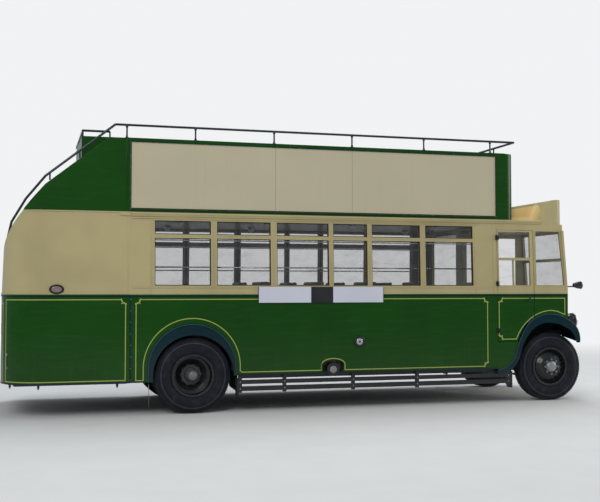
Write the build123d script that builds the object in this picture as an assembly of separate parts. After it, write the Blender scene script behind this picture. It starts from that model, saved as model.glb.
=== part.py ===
from build123d import *
import os
from math import atan2, cos, radians, sin

# Half-cab double-deck bus with an open top deck and an open curved rear stair.
# Units are millimetres. +X is forward, +Y the nearside, +Z up, and Z = 0 is the ground.
# The pieces are drawn with X measured ahead of the rear axle, and are shifted
# when they are written so that the origin lies under the middle of the overall length.

# Overall sizes
WHEELBASE = 5029
REAR_OVERHANG = 2300
FRONT_OVERHANG = 525
HALF_WIDTH = 1135
WALL = 45
FIT = 0.3

# Heights above the ground
SKIRT_Z = 462
REAR_SKIRT_Z = 403
PLATFORM_Z = 430
FLOOR_Z = 710
FLOOR_DEPTH = 40
WAIST_Z = 1479
SILL_RISE = 111
SILL_Z = WAIST_Z + SILL_RISE
CEILING_Z = 2446
HEADER = 49
WINDOW_TOP_Z = CEILING_Z - HEADER
TOP_LIGHT = 170
TRANSOM_HEIGHT = 47
TRANSOM_Z = WINDOW_TOP_Z - TOP_LIGHT - TRANSOM_HEIGHT
DECK_THICK = 54
DECK_Z = CEILING_Z + DECK_THICK
PANEL_HEIGHT = 910
PANEL_TOP_Z = DECK_Z + PANEL_HEIGHT
GUARD_TOP_Z = PANEL_TOP_Z + 90
RAIL_Z = PANEL_TOP_Z + 162

# Body sides lean in above the waist until they reach the deck
DECK_HALF_WIDTH = 1100
MOULDING = 8
CORNICE_OUT = 28

# Planes inside and outside the body side at every height, for cuts that pass through it
SIDE_IN = min(HALF_WIDTH, DECK_HALF_WIDTH) - 4 * WALL
SIDE_OUT = max(HALF_WIDTH, DECK_HALF_WIDTH) + 4 * WALL

# Stations along the body, ahead of the rear axle
SPLIT_X = -780
CAB_REAR_X = WHEELBASE - 856
DASH_X = WHEELBASE + 222
DECK_FRONT_X = WHEELBASE - 554
DECK_REAR_X = -1350
STAIR_HEAD_X = -1040
BOARD_FRONT_X = CAB_REAR_X - 5
BOARD_EDGE = 12

# Rear corner, its wall and the stair inside it
CORNER_R = 500
REAR_WALL_END_Y = 180
STAIR_WIDTH = 570
STAIR_STEPS = 10
TREAD_THICK = 35
RISER_THICK = 20
CORNER_EDGE_Z = 2010
END_EDGE_Z = 1430

# Wheels and tyres
TYRE_R = 467.5
TYRE_WIDTH = 215
RIM_R = 254
FLANGE_R = 269
TWIN_PITCH = 242
REAR_TYRE_FACE_Y = 1100
FRONT_TYRE_FACE_Y = 1040
FRONT_WHEEL_Y = FRONT_TYRE_FACE_Y - TYRE_WIDTH / 2
REAR_WHEEL_Y = REAR_TYRE_FACE_Y - TYRE_WIDTH / 2
STUB_R = 32
RUN_GAP = 0.3

# Rear wheel arch
ARCH_X = -18
ARCH_Z = 560
ARCH_R = 557
ARCH_LIP_OUT = 14
ARCH_BEAD = 20
ARCH_BEAD_OUT = 7
ARCH_MOUTH_GAP = 39
WHEEL_BOX_R = ARCH_R - 27
WHEEL_BOX_Y = 600
WHEEL_BOX_WALL = 20

# Chassis
RAIL_Y = 430
RAIL_WIDTH = 60
RAIL_WALL = 8
KINGPIN_Y = 780
KINGPIN_R = 22
BEAM_Z = TYRE_R

# Cab and bonnet
CAB_INNER_Y = 30
CAB_WALL = 32
DOOR_WIDTH = 560
DOOR_BOTTOM_Z = 833
CANOPY_THICK = 87
DOOR_TOP_Z = CEILING_Z - CANOPY_THICK
DOOR_GAP = 6
DOOR_WALL = 34
GLASS = 6
BONNET_HALF = 280
BONNET_TOP_Z = 1400
BONNET_SKIRT_Z = 720
SHEET = 4
WING_INNER_Y = 655

# Window bays of the saloon: rear edge X, width
BAYS = [(-489, 703), (291, 697), (1068, 699), (1826, 472), (2360, 687), (3121, 698)]

# Posts of the top rail along each side: the rearmost X, then the others by their distance behind the deck's front
RAIL_POSTS = [SPLIT_X - 55] + [DECK_FRONT_X - back for back in (4457, 3437, 2379, 1358, 375)]
RAIL_R = 15


# Basic forms

def polygon(*points):
    """Flat face through the points."""
    return make_face(Polyline(*points, close=True))


def prism_x(face, x0, x1):
    """Face drawn in Y and Z, run from x0 to x1."""
    return extrude(Plane.YZ.offset(x0) * face, x1 - x0)


def prism_y(face, y0, y1):
    """Face drawn in X and Z, run from y0 to y1."""
    return extrude(Plane.XZ.offset(-y1) * face, y1 - y0)


def prism_z(face, z0, z1):
    """Face drawn in X and Y, run from z0 to z1."""
    return extrude(Plane.XY.offset(z0) * face, z1 - z0)


def block(x0, x1, y0, y1, z0, z1):
    """Box between two corners."""
    return Pos((x0 + x1) / 2, (y0 + y1) / 2, (z0 + z1) / 2) * Box(x1 - x0, y1 - y0, z1 - z0)


def rod(start, end, radius):
    """Round bar between two points."""
    line = Vector(*end) - Vector(*start)
    return Plane(origin=start, z_dir=line) * Pos(0, 0, line.length / 2) * Cylinder(radius, line.length)


def round_y(x, z, radius, y0, y1):
    """Disc across the vehicle, from y0 to y1."""
    return Pos(x, (y0 + y1) / 2, z) * Rot(90, 0, 0) * Cylinder(radius, y1 - y0)


def other_side(shape):
    """The same form on the other side of the vehicle."""
    return mirror(shape, about=Plane.XZ)


def both(shape):
    """A form and its twin on the other side, as two solids."""
    return [shape, other_side(shape)]


def side_y(z):
    """Outer face of the body side at a height."""
    if z <= WAIST_Z:
        return HALF_WIDTH
    return HALF_WIDTH - (HALF_WIDTH - DECK_HALF_WIDTH) * (z - WAIST_Z) / (DECK_Z - WAIST_Z)


def side_slab(x0, x1, z0, z1, depth, thick):
    """Nearside slab that follows the lean of the side, its outer face `depth` inside it."""
    outline = [(side_y(z0) - depth, z0), (side_y(z1) - depth, z1),
               (side_y(z1) - depth - thick, z1), (side_y(z0) - depth - thick, z0)]
    return prism_x(polygon(*outline), x0, x1)


# Chassis and running gear

# Top line of the frame rail, from the platform to the dumb iron: X, Z, depth of the rail
FRAME_LINE = [(-2150, 395, 65), (-760, 395, 65), (-600, 665, 90), (600, 665, 90), (900, 650, 170),
              (WHEELBASE - 700, 650, 170), (WHEELBASE - 450, 730, 90), (WHEELBASE + 250, 730, 90),
              (WHEELBASE + 500, 620, 60)]


def frame_rail():
    """Nearside channel rail with its kick-up over the rear axle and its dumb iron."""
    upper = [(x, z) for x, z, depth in FRAME_LINE]
    lower = [(x, z - depth) for x, z, depth in FRAME_LINE]
    rail = prism_y(polygon(*(upper + lower[::-1])), RAIL_Y - RAIL_WIDTH / 2, RAIL_Y + RAIL_WIDTH / 2)
    inset_top = [(x, z - RAIL_WALL) for x, z in upper[:-1]]
    inset_low = [(x, z + RAIL_WALL) for x, z in lower[:-1]]
    recess = prism_y(polygon(*(inset_top + inset_low[::-1])),
                     RAIL_Y - RAIL_WIDTH / 2 - 1, RAIL_Y + RAIL_WIDTH / 2 - RAIL_WALL)
    return rail - recess


# Towing eyes through the tips of the dumb irons
EYE_R = 12.5
EYE_X = WHEELBASE + 482
EYE_Z = 592

# Springs: middle X, half length between eyes, inner Y, outer Y, seat Z, rise of the eyes
FRONT_SPRING = (WHEELBASE, 420, RAIL_Y - 30, RAIL_Y + 30, 490 + FIT, 75)
REAR_SPRING = (0, 560, RAIL_Y + 50, RAIL_Y + 130, 536, 90)
SPRING_EYE_R = 18
LEAF = 11

RADIATOR_X = WHEELBASE + 141
RADIATOR_LOW_Z = 640

# Crossmembers: middle X, underside Z, depth
CROSSMEMBERS = [(-2120, 340, 55), (-1400, 340, 55), (-560, 590, 65), (560, 590, 65), (1700, 582, 60),
                (2900, 586, 56), (WHEELBASE - 720, 500, 140), (WHEELBASE + 206, RADIATOR_LOW_Z - 62, 62 - FIT)]


def chassis_frame():
    """Two channel rails joined by crossmembers, with spring hangers and towing eyes in the dumb irons."""
    rails = frame_rail() + other_side(frame_rail())
    inner = RAIL_Y + RAIL_WIDTH / 2 - RAIL_WALL
    for x, z, depth in CROSSMEMBERS:
        rails += block(x - 40, x + 40, -inner, inner, z, z + depth)
    x_mid, half, y0, y1, seat, rise = FRONT_SPRING
    hanger_z = seat + rise - LEAF / 2 + SPRING_EYE_R + FIT
    outer = RAIL_Y + RAIL_WIDTH / 2
    for side in (-1, 1):
        for x in (x_mid - half, x_mid + half):
            rails += block(x - 22, x + 22, min(side * y0, side * y1), max(side * y0, side * y1), hanger_z, 650)
        for x in (-REAR_SPRING[1], REAR_SPRING[1]):
            face = side * (REAR_SPRING[2] - FIT)
            rails += block(x - 25, x + 25, min(side * (outer - 2), face), max(side * (outer - 2), face), 585, 655)
        centre = side * RAIL_Y
        rails -= round_y(EYE_X, EYE_Z, EYE_R, centre - RAIL_WIDTH, centre + RAIL_WIDTH)
    return rails


def leaf_spring(x_mid, half, y0, y1, z_seat, rise):
    """Leaf pack: a top leaf bowed up to its eyes and shorter leaves below it."""
    leaves = 5
    top = [(x_mid - half, z_seat + rise), (x_mid, z_seat + leaves * LEAF), (x_mid + half, z_seat + rise)]
    steps = [(x_mid + half, z_seat + rise - LEAF)]
    for k in range(1, leaves):
        reach = half * (1.02 - 0.2 * k)
        level = z_seat + (leaves - k) * LEAF + (rise - leaves * LEAF) * reach / half
        steps += [(x_mid + reach, level), (x_mid + reach, level - LEAF)]
    steps += [(x_mid + 60, z_seat)]
    left = [(2 * x_mid - x, z) for x, z in steps[::-1]]
    pack = prism_y(polygon(*(top + steps + left)), y0, y1)
    for side in (-1, 1):
        pack += round_y(x_mid + side * half, z_seat + rise - LEAF / 2, SPRING_EYE_R, y0, y1)
    return pack


def front_axle():
    """Forged beam, dropped in the middle, with an eye for each kingpin."""
    half = KINGPIN_Y - 60
    top = [(-half, 455), (-620, 490), (-390, 490), (-290, 420), (290, 420), (390, 490), (620, 490), (half, 455)]
    low = [(y, z - 85) for y, z in top]
    beam = prism_x(polygon(*(top + low[::-1])), WHEELBASE - 35, WHEELBASE + 35)
    web = [(y, z - 18) for y, z in top[1:-1]] + [(y, z + 18) for y, z in low[1:-1]][::-1]
    for x0 in (WHEELBASE - 36, WHEELBASE + 11):
        beam -= prism_x(polygon(*web), x0, x0 + 25)
    for side in (-1, 1):
        y = side * KINGPIN_Y
        eye = Pos(WHEELBASE, y, BEAM_Z - 50) * Cylinder(48, 110)
        neck = block(WHEELBASE - 35, WHEELBASE + 35, min(y, side * half), max(y, side * half), 370, 455)
        beam += neck + eye
        beam -= Pos(WHEELBASE, y, BEAM_Z - 50) * Cylinder(KINGPIN_R + RUN_GAP, 112)
    return beam


STEER_ARM = 190


def knuckle():
    """Nearside steering knuckle: kingpin, fork, stub axle and track-rod arm."""
    pin = Pos(WHEELBASE, KINGPIN_Y, BEAM_Z - 50) * Cylinder(KINGPIN_R, 190)
    top = Pos(WHEELBASE, KINGPIN_Y, BEAM_Z + 28) * Cylinder(46, 34)
    low = Pos(WHEELBASE, KINGPIN_Y, BEAM_Z - 128) * Cylinder(46, 34)
    web = block(WHEELBASE - 40, WHEELBASE + 40, KINGPIN_Y + 50, KINGPIN_Y + 80, BEAM_Z - 145, BEAM_Z + 45)
    arms = Part()
    for z0 in (BEAM_Z + 11, BEAM_Z - 145):
        arms += block(WHEELBASE - 34, WHEELBASE + 34, KINGPIN_Y, KINGPIN_Y + 55, z0, z0 + 34)
    stub = round_y(WHEELBASE, BEAM_Z, STUB_R, KINGPIN_Y + 75, FRONT_WHEEL_Y + 85)
    end = (WHEELBASE - STEER_ARM, KINGPIN_Y, BEAM_Z - 128)
    arm = rod((WHEELBASE - 30, KINGPIN_Y, BEAM_Z - 128), end, 14)
    ball = Pos(*end) * Cylinder(24, 26) + Pos(end[0], end[1], end[2] - 28) * Cylinder(10, 60)
    return pin + top + low + web + arms + stub + arm + ball


def track_rod():
    """Tube that ties the two steering arms together, an eye round each arm's pin."""
    x, y = WHEELBASE - STEER_ARM, KINGPIN_Y
    z = BEAM_Z - 128 - 13 - 15 - 1
    bar = rod((x, -y, z), (x, y, z), 15)
    for side in (-1, 1):
        bar += Pos(x, side * y, z) * Cylinder(22, 26)
        bar -= Pos(x, side * y, z) * Cylinder(10 + RUN_GAP, 80)
    return bar


AXLE_TUBE_R = 68


def rear_axle():
    """Fixed rear axle: tube, domed worm casing and the ends that carry the hubs."""
    casing_y = 600
    tube = round_y(0, TYRE_R, AXLE_TUBE_R, -casing_y, casing_y)
    casing = Pos(0, 0, TYRE_R) * Sphere(170)
    casing += Pos(0, 0, TYRE_R - 20) * Rot(0, 90, 0) * Cylinder(75, 420)
    ends = round_y(0, TYRE_R, STUB_R + 18, -REAR_WHEEL_Y - 70, REAR_WHEEL_Y + 70)
    return tube + casing + ends


def wheel_profile(points, y_mid):
    """Solid of revolution about a wheel's axle from radius and offset pairs."""
    face = polygon(*[(offset, radius) for radius, offset in points])
    placed = Plane(origin=(0, y_mid, 0), x_dir=(0, 1, 0), z_dir=(1, 0, 0)) * face
    return revolve(placed, Axis((0, 0, 0), (0, 1, 0)))


# Half section of a tyre: radius, offset from its middle
TYRE_HALF = [(RIM_R + 2 + FIT, 71), (FLANGE_R + 3, 86), (330, 104), (372, TYRE_WIDTH / 2), (418, 104), (450, 94),
             (463, 84), (TYRE_R, 60)]


def tyre(y_mid):
    """One tyre, centred on y_mid."""
    mirrored = [(radius, -offset) for radius, offset in TYRE_HALF[::-1]]
    return wheel_profile(TYRE_HALF + mirrored, y_mid)


def rim(y_mid):
    """Flanged rim, centred on y_mid."""
    half = [(RIM_R + 2, 72), (FLANGE_R, 86), (FLANGE_R, 94), (RIM_R - 14, 94), (RIM_R - 14, 60), (RIM_R - 22, 20)]
    mirrored = [(radius, -offset) for radius, offset in half[::-1]]
    return wheel_profile(half + mirrored, y_mid)


def front_wheel():
    """Nearside front wheel at the origin of its axle: rim, convex disc and hub."""
    bore = STUB_R + RUN_GAP
    disc = wheel_profile([(RIM_R - 16, 30), (RIM_R - 16, 44), (215, 52), (150, 104), (118, 112), (118, 98), (145, 90),
                          (208, 38)], 0)
    hub = wheel_profile([(bore, -42), (95, -42), (95, 20), (120, 84), (120, 112), (78, 112), (66, 150), (0, 156),
                         (0, 88), (bore, 88)], 0)
    return rim(0) + disc + hub


def rear_wheels():
    """Nearside twin rims on one hub, at the origin of the outer wheel."""
    bore = STUB_R + 18 + RUN_GAP
    outer_disc = wheel_profile([(RIM_R - 16, -58), (RIM_R - 16, -44), (200, -56), (130, -96), (118, -96), (118, -110),
                                (140, -112), (208, -68)], 0)
    inner_disc = wheel_profile([(RIM_R - 16, 44), (RIM_R - 16, 58), (208, 68), (140, 112), (118, 110), (118, 96),
                                (130, 96), (200, 56)], -TWIN_PITCH)
    hub = wheel_profile([(bore, -TWIN_PITCH), (92, -TWIN_PITCH), (92, -150), (120, -146), (120, -84), (98, -80),
                         (92, -6), (78, 46), (60, 76), (0, 82), (0, 72), (bore, 72)], 0)
    return rim(0) + rim(-TWIN_PITCH) + outer_disc + inner_disc + hub


# Engine bearers rest on the lower flange of the frame rails
BEARER_X = [WHEELBASE - 350, WHEELBASE + 30]
RAIL_FOOT_Z = 640 + RAIL_WALL


def engine():
    """Engine as one plain block with rounded edges, its sump and its bearer arms."""
    block_body = block(WHEELBASE - 650, WHEELBASE + 100, -190, 190, 700, 1230)
    sump = block(WHEELBASE - 600, WHEELBASE + 60, -130, 130, 560, 700)
    motor = fillet(block_body.edges().filter_by(Axis.X), 40) + sump
    reach = RAIL_Y + RAIL_WIDTH / 2 - RAIL_WALL - FIT
    for x in BEARER_X:
        motor += block(x - 30, x + 30, -reach, reach, RAIL_FOOT_Z + FIT, RAIL_FOOT_Z + 54)
    return motor


def gearbox_and_shaft():
    """Gearbox in the frame and the open propeller shaft to the rear axle."""
    box_x = WHEELBASE - 1500
    case = block(box_x, box_x + 620, -140, 140, 470, 648)
    shaft = rod((212, 0, TYRE_R - 20), (box_x, 0, 540), 36)
    return case + shaft


def radiator():
    """Radiator shell with a rounded top, a header line and a bank of upright tubes."""
    x0, x1 = RADIATOR_X, RADIATOR_X + 130
    half, low, top = 320, RADIATOR_LOW_Z, 1455
    outline = make_face(Line((-half, low), (half, low)) + Line((half, low), (half, top - 130))
                        + ThreePointArc((half, top - 130), (half - 45, top - 38), (half - 160, top))
                        + Line((half - 160, top), (160 - half, top))
                        + ThreePointArc((160 - half, top), (45 - half, top - 38), (-half, top - 130))
                        + Line((-half, top - 130), (-half, low)))
    shell = prism_x(outline, x0, x1)
    window = (half - 55, low + 90, top - 190)
    shell -= block(x1 - 60, x1 + 1, -window[0], window[0], window[1], window[2])
    tube_pitch = 26
    count = int(2 * window[0] / tube_pitch)
    for k in range(count):
        y = (k - (count - 1) / 2) * tube_pitch
        shell += block(x1 - 64, x1 - 24, y - 5, y + 5, window[1] - 1, window[2] + 1)
    cap = Pos((x0 + x1) / 2, 0, top + 18) * Cylinder(46, 44)
    return shell + cap


# Bonnet

def bonnet_arch(half, low):
    """Half outline of the bonnet, from its centre line down to the frame."""
    shoulder = 90
    return (Line((0, BONNET_TOP_Z), (half - shoulder, BONNET_TOP_Z - 14))
            + ThreePointArc((half - shoulder, BONNET_TOP_Z - 14), (half - 24, BONNET_TOP_Z - 42),
                            (half, BONNET_TOP_Z - 110))
            + Line((half, BONNET_TOP_Z - 110), (half, low)))


def bonnet_half():
    """Nearside half of the bonnet as a sheet, from the bulkhead to the radiator."""
    outer = make_face(bonnet_arch(BONNET_HALF, BONNET_SKIRT_Z)
                      + Line((BONNET_HALF, BONNET_SKIRT_Z), (0, BONNET_SKIRT_Z))
                      + Line((0, BONNET_SKIRT_Z), (0, BONNET_TOP_Z)))
    inner = Pos(0, -SHEET) * make_face(
        bonnet_arch(BONNET_HALF - SHEET, BONNET_SKIRT_Z)
        + Line((BONNET_HALF - SHEET, BONNET_SKIRT_Z), (0, BONNET_SKIRT_Z))
        + Line((0, BONNET_SKIRT_Z), (0, BONNET_TOP_Z)))
    x0, x1 = CAB_REAR_X + FIT, RADIATOR_X - FIT
    return prism_x(outer, x0, x1) - prism_x(inner, x0 - 1, x1 + 1)


HINGE_Y = CAB_INNER_Y + 14
LID_GAP = 6
HINGE_R = 5
HINGE_Z = 1394


LID_LOW_Z = 1000


def bonnet_fixed():
    """Offside half of the bonnet inside the cab, with the hinge strip along the top, and the nearside valance."""
    low, front = BONNET_SKIRT_Z - 50, WHEELBASE + 400
    strip = bonnet_half() & block(0, front, -1, HINGE_Y, low, BONNET_TOP_Z + 50)
    valance = bonnet_half() & block(0, front, 0, BONNET_HALF + 10, low, LID_LOW_Z - LID_GAP)
    return [other_side(bonnet_half()) + strip, valance]


def bonnet_lid():
    """Nearside half of the bonnet, hinged along its inner edge, with a louvred side."""
    lid = bonnet_half() & block(CAB_REAR_X + LID_GAP, RADIATOR_X - LID_GAP, HINGE_Y + LID_GAP, BONNET_HALF + 10,
                                LID_LOW_Z, BONNET_TOP_Z + 50)
    for k in range(12):
        x = CAB_REAR_X + 230 + k * 52
        lid += block(x, x + 22, BONNET_HALF - SHEET, BONNET_HALF + 7, LID_LOW_Z + 40, LID_LOW_Z + 230)
    axis_y = HINGE_Y + FIT + HINGE_R
    return lid + rod((CAB_REAR_X + LID_GAP, axis_y, HINGE_Z), (RADIATOR_X - LID_GAP, axis_y, HINGE_Z), HINGE_R)


# Body sides

def arch_disc(radius, y0, y1):
    """Solid that fills a rear arch down to the ground, of the given radius."""
    legs = block(ARCH_X - radius, ARCH_X + radius, y0, y1, 300, ARCH_Z)
    return round_y(ARCH_X, ARCH_Z, radius, y0, y1) + legs


FILLER_X = 2174
FILLER_Z = 863
FILLER_R = 60
NOTCH_X = 1817
NOTCH_HALF = 142
NOTCH_TOP_Z = 630


def side_panel():
    """Nearside lower panel of the saloon, deeper behind its wheel arch than ahead of it."""
    panel = block(SPLIT_X, CAB_REAR_X, HALF_WIDTH - WALL, HALF_WIDTH, SKIRT_Z, WAIST_Z)
    panel += block(SPLIT_X, CAB_REAR_X, HALF_WIDTH, HALF_WIDTH + MOULDING, WAIST_Z - 18, WAIST_Z)
    panel += block(SPLIT_X, ARCH_X, HALF_WIDTH - WALL, HALF_WIDTH, REAR_SKIRT_Z, SKIRT_Z + 1)
    return panel - arch_disc(ARCH_R, HALF_WIDTH - WALL - 1, HALF_WIDTH + MOULDING + 1)


def wing_outline(grow=0.0):
    """Closed outline of the front wing's outer surface, grown outwards, with X from the axle."""
    tail = (-864, 455 + grow)
    flare = (-590 - grow * 0.9, 665 + grow * 0.3)
    shoulder = (-400 - grow * 0.75, 1068 + grow * 0.65)
    crown = (-60, 1205 + grow)
    brow = (255 + grow * 0.6, 1105 + grow * 0.8)
    tip = (408 + grow, 802)
    curve = (ThreePointArc(tail, (-700 - grow * 0.5, 510 + grow * 0.8), flare)
             + ThreePointArc(flare, (-510 - grow * 0.9, 890 + grow * 0.4), shoulder)
             + ThreePointArc(shoulder, (-250 - grow * 0.4, 1170 + grow * 0.9), crown)
             + ThreePointArc(crown, (105 + grow * 0.2, 1180 + grow), brow)
             + ThreePointArc(brow, (378 + grow * 0.9, 985 + grow * 0.3), tip))
    low = 380
    return make_face(curve + Polyline(tip, (tip[0], low), (tail[0], low), tail))


def wing_solid(grow, y0, y1):
    """Solid under the wing's outline between two planes across the vehicle."""
    return Pos(WHEELBASE, 0, 0) * prism_y(wing_outline(grow), y0, y1)


# Wheel opening in the wing's outer face, from its tail to its tip, with X from the axle: ends and middles of arcs
WING_MOUTH = [(-875, 388), (-655, 450), (-518, 645), (-438, 852), (-330, 990), (-203, 1062), (-60, 1078),
              (78, 1060), (195, 1012), (305, 920), (352, 790)]
WING_TIP_Z = 800
WING_TIP_RISE = 70
WING_STAY_X = [WHEELBASE - 290, WHEELBASE + 265]
STAY_R = 14


def wing_mouth(y0, y1):
    """Solid that fills the wheel opening of the wing's outer face."""
    curve = Curve()
    for k in range(0, len(WING_MOUTH) - 2, 2):
        curve += ThreePointArc(*WING_MOUTH[k:k + 3])
    tail, tip = WING_MOUTH[0], WING_MOUTH[-1]
    face = make_face(curve + Polyline(tip, (tip[0], 0), (tail[0], 0), tail))
    return Pos(WHEELBASE, 0, 0) * prism_y(face, y0, y1)


def front_wing():
    """Nearside front wing: a swept sheet with a deep outer face round the wheel and an inner apron."""
    face_y = HALF_WIDTH + MOULDING
    outer = wing_solid(0, WING_INNER_Y, face_y)
    inner = wing_solid(-SHEET, WING_INNER_Y - 1, face_y - SHEET)
    wing = outer - inner - wing_mouth(face_y - 2 * SHEET, face_y + 1)
    front_edge = polygon((WING_INNER_Y - 2, 0), (face_y + 2, 0), (face_y + 2, WING_TIP_Z),
                         (WING_INNER_Y - 2, WING_TIP_Z + WING_TIP_RISE))
    wing -= prism_x(front_edge, WHEELBASE + 300, WHEELBASE + 600)
    apron = wing_solid(-SHEET, WING_INNER_Y, WING_INNER_Y + SHEET)
    apron -= block(0, WHEELBASE + 600, WING_INNER_Y - 5, WING_INNER_Y + 20, 300, 960)
    return wing + apron


def wing_stays():
    """Two stays that carry the nearside wing from the frame rail; the cab carries the offside one."""
    stays = Part()
    for x in WING_STAY_X:
        foot, elbow, knee = (x, RAIL_Y + RAIL_WIDTH / 2 + FIT, 690), (x, 500, 690), (x, 560, 1000)
        stays += rod(foot, elbow, STAY_R) + Pos(*elbow) * Sphere(STAY_R) + rod(elbow, knee, STAY_R)
        stays += Pos(*knee) * Sphere(STAY_R) + rod(knee, (x, WING_INNER_Y + 2, 1000), STAY_R)
    return stays


def door_sill_panel():
    """Offside panel below the cab door, closing the side down to the wing's tail."""
    panel = block(CAB_REAR_X, CAB_REAR_X + 330, -HALF_WIDTH, WALL - HALF_WIDTH, SKIRT_Z, DOOR_BOTTOM_Z - DOOR_GAP)
    return panel - wing_solid(FIT, -HALF_WIDTH - 10, 0)


DOOR_HINGES = [980, 1620, 2250]
HINGE_PIN_R = 6
HINGE_HALF = 30
HINGE_REACH = 20
DOOR_PIVOT = (CAB_REAR_X + DOOR_GAP / 2, -7 - max(side_y(z) for z in DOOR_HINGES))


def hinge_leaf(z):
    """Fixed leaf of a cab door hinge, on the body just behind the door."""
    return block(DOOR_PIVOT[0] - HINGE_REACH, DOOR_PIVOT[0] - HINGE_PIN_R - FIT, DOOR_PIVOT[1] - 3, 4 - side_y(z),
                 z - HINGE_HALF, z + HINGE_HALF)


def side_offside():
    """Offside lower panel: the side panel with the filler openings and the panel below the door."""
    panel = other_side(side_panel()) + door_sill_panel() + hinge_leaf(DOOR_HINGES[0])
    panel -= round_y(FILLER_X, FILLER_Z, FILLER_R, -HALF_WIDTH - 20, 0)
    notch = block(NOTCH_X - NOTCH_HALF, NOTCH_X + NOTCH_HALF, -HALF_WIDTH - 20, 0, 400, NOTCH_TOP_Z - 60)
    crown = Pos(NOTCH_X, 0, NOTCH_TOP_Z - 60) * prism_y(Ellipse(NOTCH_HALF, 60), -HALF_WIDTH - 20, 0)
    return panel - notch - crown


def arch_mouth(y0, y1):
    """Solid that fills the opening of a rear arch lip, close round the tyre and down to the ground."""
    radius = TYRE_R + ARCH_MOUTH_GAP
    return round_y(0, TYRE_R, radius, y0, y1) + block(-radius, radius, y0, y1, 0, TYRE_R)


def arch_lip():
    """Nearside lip of the rear wheel arch: a crescent face, widest over the tyre, with a bead round its outer edge."""
    y0, y1 = HALF_WIDTH - WALL, HALF_WIDTH + ARCH_LIP_OUT
    outer = ARCH_R - FIT
    lip = arch_disc(outer, y0, y1 - ARCH_BEAD_OUT)
    lip += arch_disc(outer, y0, y1) - arch_disc(outer - ARCH_BEAD, y0 - 1, y1 + 1)
    lip -= arch_mouth(y0 - 1, y1 + 1)
    lip -= block(ARCH_X - ARCH_R, 0, y0 - 1, y1 + 1, 0, REAR_SKIRT_Z)
    return lip - block(0, ARCH_X + ARCH_R, y0 - 1, y1 + 1, 0, SKIRT_Z)


def wheel_box():
    """Nearside cover over the twin tyres inside the saloon, closed towards the gangway."""
    outer = WHEEL_BOX_R
    y1 = HALF_WIDTH - WALL - FIT
    shell = arch_disc(outer, WHEEL_BOX_Y, y1)
    shell -= arch_disc(outer - WHEEL_BOX_WALL, WHEEL_BOX_Y + WHEEL_BOX_WALL, y1 + 1)
    return shell - block(-1000, 1000, 0, HALF_WIDTH, -100, SKIRT_Z + 60)


def window_wall():
    """Nearside window wall of the saloon, leaning in, with a main light and a top light in each bay."""
    wall = side_slab(SPLIT_X, CAB_REAR_X, WAIST_Z, CEILING_Z, 0, WALL)
    for x0, width in BAYS:
        wall -= block(x0, x0 + width, SIDE_IN, SIDE_OUT, SILL_Z, TRANSOM_Z)
        wall -= block(x0, x0 + width, SIDE_IN, SIDE_OUT, TRANSOM_Z + TRANSOM_HEIGHT, WINDOW_TOP_Z)
    return wall


def window_wall_offside():
    """Offside window wall, with the fixed leaves of the two upper door hinges."""
    return other_side(window_wall()) + hinge_leaf(DOOR_HINGES[1]) + hinge_leaf(DOOR_HINGES[2])


def saloon_glass():
    """Nearside panes of the saloon, one in each light."""
    panes = []
    for x0, width in BAYS:
        for z0, z1 in ((SILL_Z, TRANSOM_Z), (TRANSOM_Z + TRANSOM_HEIGHT, WINDOW_TOP_Z)):
            panes.append(side_slab(x0 + FIT, x0 + width - FIT, z0 + FIT, z1 - FIT, WALL / 2, GLASS))
    return panes


# Lights of the bulkheads: how far out they reach, the sill to the cab; half width of the doorway and its height
LIGHT_OUT_Y = min(HALF_WIDTH, DECK_HALF_WIDTH) - WALL - 95
CAB_LIGHT_Z = SILL_Z + 50
DOORWAY_HALF = 330
DOORWAY_TOP_Z = WINDOW_TOP_Z - 67
CAB_LIGHT_Y = (-LIGHT_OUT_Y, CAB_INNER_Y - 90)
BONNET_LIGHT_Y = (CAB_INNER_Y + 50, LIGHT_OUT_Y)
REAR_LIGHT_Y = (DOORWAY_HALF + 100, LIGHT_OUT_Y)


def bulkhead(x0, cuts):
    """Wall across the saloon, shaped to the sides, with the given openings (y0, y1, z0, z1)."""
    inner_low, inner_high = HALF_WIDTH - WALL - FIT, side_y(CEILING_Z) - WALL - FIT
    outline = [(-inner_low, FLOOR_Z), (inner_low, FLOOR_Z), (inner_low, WAIST_Z), (inner_high, CEILING_Z),
               (-inner_high, CEILING_Z), (-inner_low, WAIST_Z)]
    wall = prism_x(polygon(*outline), x0, x0 + WALL)
    for y0, y1, z0, z1 in cuts:
        wall -= block(x0 - 1, x0 + WALL + 1, y0, y1, z0, z1)
    return wall


def front_bulkhead():
    """Wall ahead of the saloon, with a window to the cab and one over the bonnet."""
    return bulkhead(CAB_REAR_X - WALL, [(*CAB_LIGHT_Y, CAB_LIGHT_Z, WINDOW_TOP_Z),
                                        (*BONNET_LIGHT_Y, SILL_Z, WINDOW_TOP_Z)])


def rear_bulkhead():
    """Wall between saloon and platform, with the gangway doorway and two windows."""
    inner, outer = REAR_LIGHT_Y
    return bulkhead(SPLIT_X + FIT, [(-DOORWAY_HALF, DOORWAY_HALF, FLOOR_Z - 1, DOORWAY_TOP_Z),
                                    (-outer, -inner, SILL_Z, WINDOW_TOP_Z), (inner, outer, SILL_Z, WINDOW_TOP_Z)])


def bulkhead_glass():
    """Panes of both bulkheads."""
    x_front, x_rear = CAB_REAR_X - WALL / 2, SPLIT_X + WALL / 2
    panes = []
    inner, outer = REAR_LIGHT_Y
    for x, y0, y1, z0 in ((x_front, *CAB_LIGHT_Y, CAB_LIGHT_Z), (x_front, *BONNET_LIGHT_Y, SILL_Z),
                          (x_rear, -outer, -inner, SILL_Z), (x_rear, inner, outer, SILL_Z)):
        panes.append(block(x, x + GLASS, y0 + FIT, y1 - FIT, z0 + FIT, WINDOW_TOP_Z - FIT))
    return panes


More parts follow.
